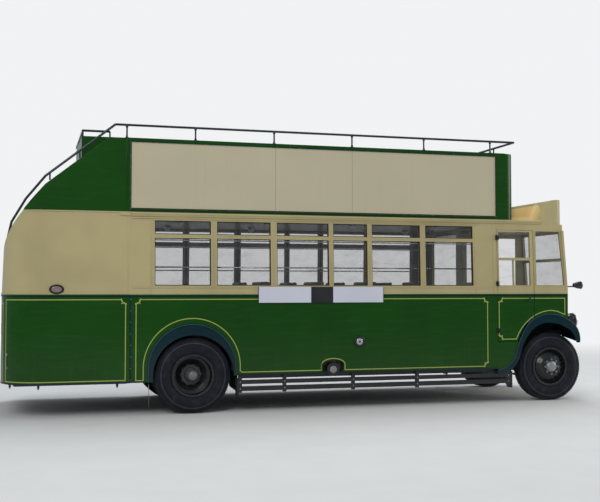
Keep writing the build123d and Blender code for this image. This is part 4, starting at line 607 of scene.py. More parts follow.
@dataclass(frozen=True)
class Pane(Finish):
    """Clear sheet glass with a faint tint, smears and dust at its foot."""

    name: str
    tint: Colour = (0.02, 0.028, 0.025)
    body: float = 0.16
    smear: float = 0.07

    def mix_up(self) -> bpy.types.Material:
        """Builds the glass."""
        mix = Recipe(self.name)
        wipe = mix.grain(4.0, 5.0, (1.0, 1.0, 2.4)).ease(0.45, 0.8)
        specks = mix.grain(150.0, 2.0).ease(0.7, 0.76)
        film = wipe * self.smear + specks * 0.06
        shade = mix.coats(self.tint, ((film * 3.0).least(1.0), (0.4, 0.42, 0.4)))
        return mix.finish(shade, 0.03 + wipe * 0.05, specular=1.0, index=1.9,
                          alpha=(film + self.body).least(1.0),
                          normal=mix.relief((mix.grain(1.6, 1.0), 0.004, 0.25)))


@dataclass(frozen=True)
class LampGlass(Finish):
    """Opal or coloured lamp glass with a faint haze."""

    name: str
    colour: Colour

    def mix_up(self) -> bpy.types.Material:
        """Builds the lens."""
        mix = Recipe(self.name)
        shade = mix.coats(self.colour, (mix.grain(30.0, 4.0) * 0.3, (0.3, 0.3, 0.28)))
        return mix.finish(shade, 0.18, coat=0.6, coat_rough=0.05)


@dataclass(frozen=True)
class LampShell(Finish):
    """Black lamp bowls with fluted lenses on the headlamps and an opal one on the side lamp.

    Args:
        head_x: Station where the headlamps' lenses start.
        side_x: Station where the side lamp's lens starts.
        parting_z: Height between the headlamps and the side lamp.
        flutes: Number of flutes in a metre across a lens.
    """

    name: str = "lamp_shells"
    head_x: float = 5.5365
    side_x: float = 5.4985
    parting_z: float = 1.3
    flutes: float = 60.0

    def mix_up(self) -> bpy.types.Material:
        """Builds glossy black with the lenses by their place."""
        mix = Recipe(self.name)
        x, y, z = mix.axes()
        high = z.over(self.parting_z)
        fluted = x.over(station(self.head_x)) * (1.0 - high)
        opal = x.over(station(self.side_x)) * high
        wave = (y * (self.flutes * math.tau)).sine() * 0.5 + 0.5
        haze = mix.grain(30.0, 4.0)
        lens = mix.coats((0.5, 0.53, 0.55), (wave * 0.4 + haze * 0.2, (0.12, 0.13, 0.14)))
        shade = mix.coats(LAMP_BLACK, (haze * 0.2, (0.02, 0.02, 0.02)), (fluted, lens), (opal, OPAL_WHITE))
        normal = mix.relief((wave * fluted, 0.0012, 0.8))
        return mix.finish(shade, haze * 0.06 + 0.1, coat=fluted * 0.6 + 0.2, coat_rough=0.03, normal=normal)


@dataclass(frozen=True)
class SignPaint(Finish):
    """Flat signwriter's paint on sheet metal, weathered, with faint streaks below its screws."""

    name: str
    colour: Colour
    streak: float = 0.12

    def mix_up(self) -> bpy.types.Material:
        """Builds the sign paint."""
        mix = Recipe(self.name)
        broad = mix.grain(0.9, 3.0)
        runs = mix.grain(5.0, 5.0, (3.0, 1.0, 0.22)).ease(0.55, 0.9) * self.streak
        spots = mix.grain(60.0, 2.0).ease(0.72, 0.76) * 0.25
        darker = tuple(part * 0.55 for part in self.colour)
        shade = mix.coats(self.colour, (broad.ease(0.35, 0.75) * 0.12, darker), (runs, RUST_STREAK),
                          (spots, (0.2, 0.16, 0.11)))
        normal = mix.relief((mix.grain(1.7, 2.0), 0.004, 0.5), (mix.grain(200.0, 2.0), 0.0003, 0.4))
        return mix.finish(shade, broad * 0.12 + 0.35, specular=0.3, normal=normal)


@dataclass(frozen=True)
class SlipBoards(Finish):
    """Blank slip boards in a row along the side, each of its own colour, with dark butted ends.

    Args:
        lengths: Rear end, front end and colour of each board.
        joint: Half of the dark gap between two boards.
    """

    name: str
    lengths: tuple
    joint: float = 0.004

    def mix_up(self) -> bpy.types.Material:
        """Builds the paint of all the boards by their place along the side."""
        mix = Recipe(self.name)
        x = mix.axes()[0]
        slips = [(x.over(station(rear) + self.joint) - x.over(station(front) - self.joint), colour)
                 for rear, front, colour in self.lengths]
        broad = mix.grain(0.9, 3.0).ease(0.35, 0.75)
        runs = mix.grain(5.0, 5.0, (3.0, 1.0, 0.22)).ease(0.55, 0.9) * 0.05
        shade = mix.coats(DARK, *slips, (broad * 0.1, (0.2, 0.2, 0.2)), (runs, RUST_STREAK))
        normal = mix.relief((mix.grain(200.0, 2.0), 0.0003, 0.4))
        return mix.finish(shade, broad * 0.12 + 0.35, specular=0.3, normal=normal)


GREEN = (0.005, 0.060, 0.002)
CREAM = (0.47, 0.40, 0.21)
BROWN = (0.055, 0.026, 0.012)
SLIP_WHITE = (0.62, 0.63, 0.72)
WAIST_BAND = (1.45, 1.467)

GREEN_COACH = CoachPaint("green_coach_paint", GREEN)
GREEN_SIDE = CoachPaint("green_side_paint", GREEN, inner=BROWN, band=WAIST_BAND)
WAIST_COACH = CoachPaint("green_and_cream_paint", GREEN, upper=CREAM, band=WAIST_BAND)
CREAM_COACH = CoachPaint("cream_coach_paint", CREAM)
# Painted highlight: a paler blue than the wings, for the beads along the arches' and wings' outer edges.
EDGE_HIGHLIGHT_PAINT = CoachPaint("painted_highlight_edge_paint", (0.03, 0.08, 0.125), gloss=0.12)
CREAM_HOOD = HoodPaint("cream_hood_paint", CREAM)
CREAM_WINDOWS = CoachPaint("cream_window_paint", CREAM, inner=BROWN, inner_depth=0.026)
DARK_GLOSS = CoachPaint("dark_gloss_paint", DARK, gloss=0.14)
RAIL_ENAMEL = Enamel("rail_enamel", (0.006, 0.02, 0.022), gloss=0.22, dust=0.15)
CHASSIS_BLACK = Enamel("chassis_black", (0.009, 0.010, 0.012), gloss=0.4, dust=0.1, chips=0.1)
WHEEL_ENAMEL = Enamel("wheel_enamel", (0.006, 0.009, 0.012), gloss=0.26, dust=0.07, chips=0.1,
                      hub=(0.085, 0.09, 0.095))
CAP_GREY = Enamel("hub_cap_grey", (0.16, 0.18, 0.20), gloss=0.35, dust=0.1, chips=0.1)
STAR_GREY = Enamel("hub_grey", (0.10, 0.105, 0.11), gloss=0.4, dust=0.2, chips=0.1)
LAMP_ENAMEL = Enamel("lamp_enamel", LAMP_BLACK, gloss=0.12, dust=0.08, chips=0.0)
IRON_BLACK = Enamel("iron_black", (0.01, 0.01, 0.01), gloss=0.35, dust=0.15)
CEILING_PALE = Enamel("pale_enamel", (0.42, 0.40, 0.33), gloss=0.3, dust=0.1, chips=0.0)
CAST = CastMetal("engine_casting")
CHROME = Bright("bright_plate", (0.5, 0.51, 0.53), gloss=0.18)
ALUMINIUM = Bright("polished_aluminium", (0.6, 0.6, 0.59), gloss=0.2, haze=0.25, grain_scale=(4.0, 40.0, 4.0))
BRASS = Bright("brass", (0.5, 0.33, 0.11), gloss=0.2)
STEEL = Bright("worn_steel", (0.3, 0.3, 0.3), gloss=0.35, haze=0.3)
RUBBER = TyreRubber("tyre_rubber")
SEAL = TyreRubber("window_rubber", (0.012, 0.012, 0.012))
FLOOR_BOARDS = Timber("floor_boards", (0.13, 0.095, 0.065), (0.05, 0.035, 0.024), varnish=0.1, board=0.11)
DECK_BOARDS = Timber("deck_boards", (0.2, 0.17, 0.13), (0.09, 0.07, 0.05), varnish=0.0, board=0.09)
VARNISHED = Timber("varnished_beech", (0.33, 0.19, 0.085), (0.17, 0.085, 0.035), axis=1, varnish=0.8)
CEILING_WOOD = Timber("ceiling_slats", (0.19, 0.085, 0.035), (0.09, 0.036, 0.015), varnish=0.7, board=0.062)
DECK_SEAT = DeckSeat()
CLOTH = Moquette("seat_moquette", (0.075, 0.035, 0.022), (0.16, 0.1, 0.045), (0.03, 0.07, 0.05))
LEATHER = Hide("seat_leather", (0.045, 0.022, 0.014))
WINDOW_GLASS = Pane("window_glass")
LAMP_SHELLS = LampShell()
OPAL = LampGlass("opal_glass", OPAL_WHITE)
ROSE_GLASS = LampGlass("rose_glass", (0.20, 0.115, 0.10))
BOARD_CREAM = SignPaint("board_cream", (0.52, 0.465, 0.325))
BOARD_EDGE = SignPaint("board_joint", (0.33, 0.28, 0.18))
SIGN_BLACK = SignPaint("sign_black", SIGN_INK, streak=0.02)
LINING = SignPaint("lining_paint", (0.36, 0.42, 0.1), streak=0.0)
SLIP_BOARDS = SlipBoards("slip_boards", ((0.819, 1.516, SLIP_WHITE), (1.516, 1.807, SIGN_INK),
                                         (1.807, 2.503, SLIP_WHITE)))


# Meshes

def linked(name: str, data: bpy.types.ID) -> bpy.types.Object:
    """Makes an object of a mesh, a camera or a light and puts it into the scene.

    Args:
        name: The object's name.
        data: The mesh, camera or light.
    """
    made = bpy.data.objects.new(name, data)
    bpy.context.scene.collection.objects.link(made)
    return made


def riding(piece: bpy.types.Object, body: str) -> bpy.types.Object:
    """Lets a finished piece ride on its body.

    Args:
        piece: The piece.
        body: The CAD body that it rides on.
    """
    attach(piece, body)
    LOG.info("%s rides on %s", piece.name, body)
    return piece


class Maker:
    """Collects faces and turns them into one finished piece.

    Args:
        name: The piece's name.
        body: The CAD body that the piece rides on.
    """

    def __init__(self, name: str, body: str = BODY) -> None:
        """Starts an empty piece."""
        self.name = name
        self.body = body
        self.mesh = bmesh.new()
        self.finishes: list[Finish] = []

    def _paint(self, faces: Iterable[bmesh.types.BMFace], finish: Finish, smooth: bool) -> None:
        """Gives new faces their finish."""
        if finish not in self.finishes:
            self.finishes.append(finish)
        for face in faces:
            face.material_index = self.finishes.index(finish)
            face.smooth = smooth

    def loft(self, rings: Sequence[Sequence[Point]], finish: Finish, loop: bool = False,
             smooth: bool = True) -> None:
        """Skins a row of closed rings of equal length, and fills the two ends.

        Args:
            rings: Points of each ring.
            finish: The finish of the faces.
            loop: Whether the last ring joins the first, which leaves no ends.
            smooth: Whether the faces are shaded smooth.
        """
        rows = [[self.mesh.verts.new(point) for point in ring] for ring in rings]
        faces = []
        count = len(rows[0])
        for low, high in list(zip(rows, rows[1:])) + ([(rows[-1], rows[0])] if loop else []):
            for k in range(count):
                m = (k + 1) % count
                faces.append(self.mesh.faces.new((low[k], low[m], high[m], high[k])))
        if not loop:
            faces += [self.mesh.faces.new(rows[0][::-1]), self.mesh.faces.new(rows[-1])]
        self._paint(faces, finish, smooth)

    def box(self, corner: Point, opposite: Point, finish: Finish, bevel: float = 0.0) -> None:
        """Adds a box with its edges rounded off.

        Args:
            corner: One corner.
            opposite: The corner opposite to it.
            finish: The finish of the faces.
            bevel: Size of the rounding, or 0 for sharp edges.
        """
        made = bmesh.ops.create_cube(self.mesh, size=1.0)["verts"]
        size = [abs(b - a) for a, b in zip(corner, opposite)]
        middle = [(a + b) / 2 for a, b in zip(corner, opposite)]
        for vert in made:
            vert.co = Vector([m + c * s for m, c, s in zip(middle, vert.co, size)])
        faces = {face for vert in made for face in vert.link_faces}
        if bevel:
            edges = list({edge for vert in made for edge in vert.link_edges})
            width = min(bevel, min(size) * 0.45)
            cut = bmesh.ops.bevel(self.mesh, geom=edges, offset=width, segments=2, affect="EDGES", profile=0.5)
            faces = {face for face in faces if face.is_valid} | set(cut["faces"])
        self._paint(faces, finish, False)

    def tube(self, points: Sequence[Point], radius: float, finish: Finish, sides: int = 12) -> None:
        """Runs a round bar along points.

        Args:
            points: The bar's centre line.
            radius: The bar's radius.
            finish: The finish of the faces.
            sides: Faces round the bar.
        """
        spine = [Vector(point) for point in points]
        rings = []
        side = None
        for index, point in enumerate(spine):
            along = (spine[min(index + 1, len(spine) - 1)] - spine[max(index - 1, 0)]).normalized()
            if side is None:
                side = along.orthogonal().normalized()
            side = (side - along * side.dot(along)).normalized()
            other = along.cross(side)
            rings.append([point + (side * u + other * v) * radius for u, v in circle(sides)])
        self.loft(rings, finish)

    def lathe(self, profile: Sequence[Flat], centre: Point, axis: Point, finish: Finish, sides: int = 48,
              hollow: bool = False) -> None:
        """Turns a profile round an axis.

        Args:
            profile: Distance along the axis and radius of each point, from one end to the other.
            centre: The point that distances are measured from.
            axis: Direction of the axis.
            finish: The finish of the faces.
            sides: Faces round the axis.
            hollow: Whether the profile closes on itself, as a ring's does, instead of being capped.
        """
        line = Vector(axis).normalized()
        side = line.orthogonal().normalized()
        other = line.cross(side)
        rings = [[Vector(centre) + line * along + (side * u + other * v) * max(radius, 1e-5)
                  for u, v in circle(sides)] for along, radius in profile]
        self.loft(rings, finish, loop=hollow)

    def plate(self, outline: Sequence[Flat], place: Place, depth: float, finish: Finish) -> None:
        """Adds a flat plate from an outline in its own plane, which place turns into points of the frame."""
        self.loft([[place(u, v, out) for u, v in outline] for out in (0.0, depth)], finish, smooth=False)

    def ribbon(self, points: Sequence[Flat], place: Place, width: float, depth: float, finish: Finish,
               loop: bool = False) -> None:
        """Lays a flat strip along a line, with mitred corners.

        Args:
            points: The strip's middle line in the surface's own two directions.
            place: Turns two surface directions and a height over the surface into a point of the frame.
            width: Width of the strip.
            depth: Height of the strip over the surface.
            finish: The finish of the faces.
            loop: Whether the strip closes on itself.
        """
        spine = [Vector(point) for point in points]
        count = len(spine)
        rows = []
        for index, point in enumerate(spine):
            before = spine[index - 1] if index or loop else None
            after = spine[(index + 1) % count] if index + 1 < count or loop else None
            first = (point - before).normalized() if before is not None else (after - point).normalized()
            second = (after - point).normalized() if after is not None else first
            along = first + second if (first + second).length > 0.01 else first
            along.normalize()
            side = Vector((-along.y, along.x))
            reach = width / 2 / max(side.dot(Vector((-first.y, first.x))), 0.45)
            one, two = point - side * reach, point + side * reach
            section = ((one, 0.0), (two, 0.0), (two, depth), (one, depth))
            rows.append([place(*spot, out) for spot, out in section])
        self.loft(rows, finish, loop=loop, smooth=False)

    def half_round(self, place: Place, x: float, z0: float, z1: float, width: float, finish: Finish) -> None:
        """Adds an upright half-round strip to a body side.

        Args:
            place: The body side.
            x: Station of the strip.
            z0: Its lower end.
            z1: Its upper end.
            width: Its width.
            finish: Its finish.
        """
        section = [(u * width / 2, v * width * 0.32) for u, v in arc((0, 0), 1, 0, 180, 6)]
        self.loft([[place(x + u, z, out) for u, out in section] for z in (z0, (z0 + z1) / 2, z1)], finish)

    def done(self, bevel: float = 0.0) -> bpy.types.Object:
        """Makes the object, bevels its sharp edges if a width is given, and lets it ride on its body."""
        bmesh.ops.remove_doubles(self.mesh, verts=self.mesh.verts, dist=1e-6)
        piece = self.plain()
        if bevel:
            edge = piece.modifiers.new("rounding", "BEVEL")
            edge.width = bevel
            edge.segments = 2
            edge.limit_method = "ANGLE"
            edge.angle_limit = math.radians(40)
        return riding(piece, self.body)

    def plain(self) -> bpy.types.Object:
        """Makes the object with its faces turned outwards and its materials."""
        bmesh.ops.recalc_face_normals(self.mesh, faces=self.mesh.faces)
        data = bpy.data.meshes.new(self.name)
        self.mesh.to_mesh(data)
        self.mesh.free()
        for finish in self.finishes:
            data.materials.append(finish.material())
        return linked(self.name, data)


def arc(centre: Flat, radius: float, start: float, end: float, steps: int) -> list[Flat]:
    """Gives points along an arc.

    Args:
        centre: The arc's centre.
        radius: Its radius.
        start: First angle in degrees.
        end: Last angle in degrees.
        steps: Number of pieces.
    """
    turn = [math.radians(start + (end - start) * k / steps) for k in range(steps + 1)]
    return [(centre[0] + radius * math.cos(a), centre[1] + radius * math.sin(a)) for a in turn]


def rounded(x0: float, x1: float, z0: float, z1: float, radius: float, steps: int) -> list[Flat]:
    """Gives the outline of a rectangle with round corners.

    Args:
        x0: Rear edge.
        x1: Front edge.
        z0: Lower edge.
        z1: Upper edge.
        radius: Radius of the corners.
        steps: Pieces of each corner.
    """
    points: list[Flat] = []
    for cx, cz, start in ((x1 - radius, z1 - radius, 0), (x0 + radius, z1 - radius, 90),
                          (x0 + radius, z0 + radius, 180), (x1 - radius, z0 + radius, 270)):
        points += arc((cx, cz), radius, start, start + 90, steps)
    return points


# Patterns by Geometry Nodes

class Pattern:
    """A Geometry Nodes tree that lays one small shape on many places.

    Args:
        name: Name of the tree and of the piece that it makes.
        body: The CAD body that the piece rides on.
    """

    def __init__(self, name: str, body: str = BODY) -> None:
        """Starts a tree with its group input and output."""
        self.name = name
        self.body = body
        self.tree = bpy.data.node_groups.new(name, "GeometryNodeTree")
        for way in ("INPUT", "OUTPUT"):
            self.tree.interface.new_socket("Geometry", in_out=way, socket_type="NodeSocketGeometry")
        self.start = self.tree.nodes.new("NodeGroupInput")
        self.end = self.tree.nodes.new("NodeGroupOutput")
        self.values: dict[str, float] = {}

    def size(self, name: str, value: float) -> bpy.types.NodeSocket:
        """Adds a named size to the tree's inputs and gives its socket.

        Args:
            name: The size's name.
            value: Its value in metres.
        """
        self.tree.interface.new_socket(name, in_out="INPUT", socket_type="NodeSocketFloat")
        self.values[name] = value
        return self.start.outputs[name]

    def node(self, kind: str, settings: dict | None = None, inputs: dict | None = None) -> bpy.types.Node:
        """Adds a node with its settings and its values or links."""
        return add_node(self.tree, kind, settings, inputs)

    def maths(self, operation: str, first: object, second: object = 0.5) -> bpy.types.Node:
        """Adds a Math node on two values, sockets or nodes."""
        return self.node("ShaderNodeMath", {"operation": operation}, {0: first, 1: second})

    def copies(self, points: bpy.types.Node, shape: bpy.types.Node,
               turn: bpy.types.Node | Point) -> bpy.types.Node:
        """Lays a shape, turned as given, on each point."""
        return self.node("GeometryNodeInstanceOnPoints", inputs={"Points": points, "Instance": shape,
                                                                 "Rotation": turn})

    def make(self, geometry: bpy.types.Node, finish: Finish, source: bpy.types.Object) -> bpy.types.Object:
        """Realizes the tree on a source object and gives the plain piece.

        Args:
            geometry: The node that holds the result.
            finish: The finish of the piece.
            source: Carrier of the places, which is removed.
        """
        real = self.node("GeometryNodeRealizeInstances", inputs={0: geometry})
        painted = self.node("GeometryNodeSetMaterial", inputs={0: real, "Material": finish.material()})
        self.tree.links.new(painted.outputs[0], self.end.inputs[0])
        modifier = source.modifiers.new(self.name, "NODES")
        modifier.node_group = self.tree
        for item in self.tree.interface.items_tree:
            if item.item_type == "SOCKET" and item.in_out == "INPUT" and item.name in self.values:
                modifier[item.identifier] = self.values[item.name]
        bpy.context.view_layer.update()
        evaluated = source.evaluated_get(bpy.context.evaluated_depsgraph_get())
        data = bpy.data.meshes.new_from_object(evaluated)
        data.name = self.name
        source.modifiers.clear()
        bpy.data.objects.remove(source)
        return riding(linked(self.name, data), self.body)


def carrier(points: Sequence[Point], normals: Sequence[Point] | None = None,
            edges: Sequence[tuple[int, int]] = ()) -> bpy.types.Object:
    """Makes a mesh of bare points that a pattern is laid on.

    Args:
        points: The places.
        normals: The direction that each copy's Z turns to, or none for +Z.
        edges: Pairs of points joined by an edge, for paths.
    """
    data = bpy.data.meshes.new("places")
    data.from_pydata([tuple(point) for point in points], list(edges), [])
    if normals is not None:
        facing = data.attributes.new("facing", "FLOAT_VECTOR", "POINT")
        facing.data.foreach_set("vector", [part for normal in normals for part in normal])
    return linked("places", data)


class Fastener(Enum):
    """Small heads that a pattern can lay."""

    DOME = "domed screw"
    HEX = "hexagon nut"


def fasteners(name: str, places: Sequence[tuple[Point, Point]], radius: float, height: float, finish: Finish,
              kind: Fastener = Fastener.DOME) -> bpy.types.Object:
    """Lays screw heads or nuts on a list of places.

    Args:
        name: The piece's name.
        places: Each head's place and the direction that it faces.
        radius: Radius of a head.
        height: Height of a head.
        finish: Finish of the heads.
        kind: Shape of the heads.
    """
    work = Pattern(name)
    wide, tall = work.size("Head radius", radius), work.size("Head height", height)
    if kind is Fastener.HEX:
        head = work.node("GeometryNodeMeshCylinder", inputs={"Vertices": 6, "Radius": wide, "Depth": tall})
    else:
        head = work.node("GeometryNodeMeshUVSphere", inputs={"Segments": 8, "Rings": 5, "Radius": wide})
        flat = work.node("ShaderNodeCombineXYZ", inputs={0: 1.0, 1: 1.0, 2: height / radius})
        head = work.node("GeometryNodeTransform", inputs={0: head, "Scale": flat})
    facing = work.node("GeometryNodeInputNamedAttribute", {"data_type": "FLOAT_VECTOR"}, {"Name": "facing"})
    turn = work.node("FunctionNodeAlignRotationToVector", {"axis": "Z"}, {"Vector": facing})
    laid = work.copies(work.start, head, turn)
    return work.make(laid, finish, carrier([point for point, _ in places], [normal for _, normal in places]))


def path_piece(name: str, runs: Sequence[Sequence[Point]], width: float, depth: float, finish: Finish,
               round_bar: bool = False) -> bpy.types.Object:
    """Sweeps a small section along paths.

    Args:
        name: The piece's name.
        runs: Each path's points.
        width: Width of the section, or its diameter when round.
        depth: Depth of the section.
        finish: Finish of the piece.
        round_bar: Whether the section is round.
    """
    points: list[Point] = []
    edges: list[tuple[int, int]] = []
    for run in runs:
        edges += [(len(points) + k, len(points) + k + 1) for k in range(len(run) - 1)]
        points += list(run)
    work = Pattern(name)
    wide, deep = work.size("Section width", width), work.size("Section depth", depth)
    if round_bar:
        half = work.maths("MULTIPLY", wide)
        section = work.node("GeometryNodeCurvePrimitiveCircle", inputs={"Resolution": 10, "Radius": half})
    else:
        section = work.node("GeometryNodeCurvePrimitiveQuadrilateral", inputs={"Width": wide, "Height": deep})
    line = work.node("GeometryNodeMeshToCurve", inputs={0: work.start})
    line = work.node("GeometryNodeSetCurveNormal", {"mode": "MINIMUM_TWIST"}, {0: line})
    swept = work.node("GeometryNodeCurveToMesh", inputs={0: line, 1: section, "Fill Caps": True})
    return work.make(swept, finish, carrier(points, edges=edges))


class Assembly:
    """One sub-assembly of the bus's looks."""

    def build(self) -> None:
        """Makes the assembly's pieces."""
        raise NotImplementedError


# Places on the bodywork

def on_side(side: Side, base: float = 0.0) -> Place:
    """Gives a place on a body side from a station, a height and a height over the panel."""
    return lambda x, z, out: (station(x), side.value * (side_y(z) + base + out), z)


def round_rear(s: float, z: float, out: float) -> Point:
    """Gives a place on the offside wall, followed round the rear corner and across the back.

    Args:
        s: Station, which runs on past the corner as a length along the wall.
        z: Height.
        out: Height over the wall.
    """
    radius = CORNER_R - (HALF_WIDTH - side_y(z)) + out
    past = CORNER_X - s
    quarter = CORNER_R * math.pi / 2
    if past <= 0:
        return station(s), -(CORNER_Y + radius), z
    if past <= quarter:
        angle = past / CORNER_R
        return station(CORNER_X - radius * math.sin(angle)), -(CORNER_Y + radius * math.cos(angle)), z
    return station(CORNER_X - radius), past - quarter - CORNER_Y, z


def refine(points: Sequence[Flat], step: float = 0.05, loop: bool = False) -> list[Flat]:
    """Divides long runs of a line so that it can follow a curved wall.

    Args:
        points: The line.
        step: Longest piece that is left.
        loop: Whether the line closes on itself.
    """
    fine: list[Flat] = []
    ends = list(points[1:]) + ([points[0]] if loop else [])
    for (x0, z0), (x1, z1) in zip(points, ends):
        parts = max(1, math.ceil(math.hypot(x1 - x0, z1 - z0) / step))
        fine += [(x0 + (x1 - x0) * k / parts, z0 + (z1 - z0) * k / parts) for k in range(parts)]
    return fine if loop else fine + [points[-1]]


OFFSIDE = on_side(Side.OFFSIDE)


# Coach lining

@dataclass
class CoachLining(Assembly):
    """Fine pale lines round each green panel, with a scalloped ornament at some corners.

    Args:
        leaf: Half length and half width of an ornament's leaf.
        notch: Station, half width, height and rise of the curve over the lower filler.
        arch: Height of the middle and radius of the line over the rear arch.
        wing_line: The line along the front wing.
    """

    width: float = 0.011
    depth: float = 0.0008
    scallop: float = 0.048
    leaf: Flat = (0.01302, 0.006375)
    top: float = 1.418
    low: float = 0.502
    notch: tuple = (1.817, 0.160, 0.570, 0.080)
    arch: Flat = (0.575, 0.607)
    wing_line: tuple = ((4.451, 0.862), (4.492, 0.945), (4.535, 1.012), (4.594, 1.078), (4.658, 1.132),
                        (4.718, 1.174), (4.782, 1.204), (4.845, 1.227), (4.907, 1.242), (4.991, 1.251),
                        (5.089, 1.236), (5.172, 1.203))
    door_front: float = 4.725
    cab_side_rear: float = 4.741

    def build(self) -> None:
        """Lines both sides, the rear corner, the cab side and the door."""
        for side in Side:
            work = Maker(f"lining_{side.name.lower()}")
            self._panel(work, self._main_outline(side), on_side(side))
            if side is Side.OFFSIDE:
                for front, rear, ornate in ((-0.842, -2.3375, False), (-2.43, -3.12, True)):
                    self._panel(work, [(front, self.top, True), (front, 0.436, False), (rear, 0.436, False),
                                       (rear, self.top, ornate)], round_rear)
                self._cab_side(work)
            work.done()
        door = Maker("lining_door", "cab_door")
        self._door(door)
        door.done()

    def _main_outline(self, side: Side) -> list[tuple[float, float, bool]]:
        """Gives the corners of the long panel, over the arch and on the offside over the filler's notch."""
        front, rear, rear_low = 4.02, -0.715, 0.430
        plain = []
        if side is Side.OFFSIDE:
            x, half, z, rise = self.notch
            plain += [(x + half, self.low)]
            plain += [(x + half * u, z + rise * v) for u, v in arc((0, 0), 1, 0, 180, 16)]
            plain += [(x - half, self.low)]
        plain += [(0.61, self.low), (0.588, self.low + 0.02)]
        plain += arc((ARCH_X, self.arch[0]), self.arch[1], 2, 178, 36) + [(-0.624, rear_low), (rear, rear_low)]
        ornate = [(rear, self.top, True), (front, self.top, True), (front, self.low, True)]
        return ornate + [(x, z, False) for x, z in plain]

    def _panel(self, work: Maker, corners: Sequence[tuple[float, float, bool]], place: Place) -> None:
        """Lines one closed panel.

        Args:
            work: Collects the lines.
            corners: Place of each corner, and whether it is ornamented.
            place: The surface that the line lies on.
        """
        points, leaves = self._scalloped(corners, True)
        work.ribbon(refine(points, loop=True), place, self.width, self.depth, LINING, loop=True)
        self._leaves(work, leaves, place)

    def _scalloped(self, corners: Sequence[tuple[float, float, bool]], loop: bool) -> tuple[list, list]:
        """Cuts a hollow quarter circle into each ornamented corner.

        Args:
            corners: Place of each corner, and whether it is ornamented.
            loop: Whether the line closes on itself.

        Returns:
            The line's points, and the place and direction of each leaf.
        """
        points, leaves = [], []
        count = len(corners)
        for index, (x, z, ornate) in enumerate(corners):
            if not ornate or (not loop and index in (0, count - 1)):
                points.append((x, z))
                continue
            here = Vector((x, z))
            back, ahead = [(Vector(corners[other % count][:2]) - here).normalized()
                           for other in (index - 1, index + 1)]
            for u, v in arc((0, 0), 1, 0, 90, 8):
                points.append(tuple(here + (back * u + ahead * v) * self.scallop))
            for degrees, reach in ((-6, 1.1), (45, 1.28), (96, 1.1), (22, 0.98), (68, 0.98)):
                way = back * math.cos(math.radians(degrees)) + ahead * math.sin(math.radians(degrees))
                leaves.append((here + way * self.scallop * reach, way))
        return points, leaves

    def _leaves(self, work: Maker, leaves: Sequence[tuple[Vector, Vector]], place: Place) -> None:
        """Adds the small leaves of the ornaments."""
        long, wide = self.leaf
        for (x, z), (u, v) in leaves:
            outline = [(x + long * a * u - wide * b * v, z + long * a * v + wide * b * u)
                       for a, b in circle(10)]
            work.plate(outline, place, self.depth * 1.5, LINING)

    def _cab_side(self, work: Maker) -> None:
        """Lines the fixed part of the cab's side, ahead of the door."""
        rear, front = self.cab_side_rear, 5.206
        curve = [point for point in self.wing_line if point[0] > rear]
        line = [(rear, self.top), (front, self.top), (front, 1.19)] + curve[::-1] + [(rear, 1.187)]
        work.ribbon(line, OFFSIDE, self.width, self.depth, LINING)

    def _door(self, work: Maker) -> None:
        """Lines the door's lower panel."""
        front, rear = self.door_front, 4.194
        corners = [(front, self.top, False), (rear, self.top, True), (rear, 0.862, True)]
        corners += [(x, z, False) for x, z in self.wing_line if x < front] + [(front, 1.178, False)]
        points, leaves = self._scalloped(corners, False)
        work.ribbon(points, OFFSIDE, self.width, self.depth, LINING)
        self._leaves(work, leaves, OFFSIDE)


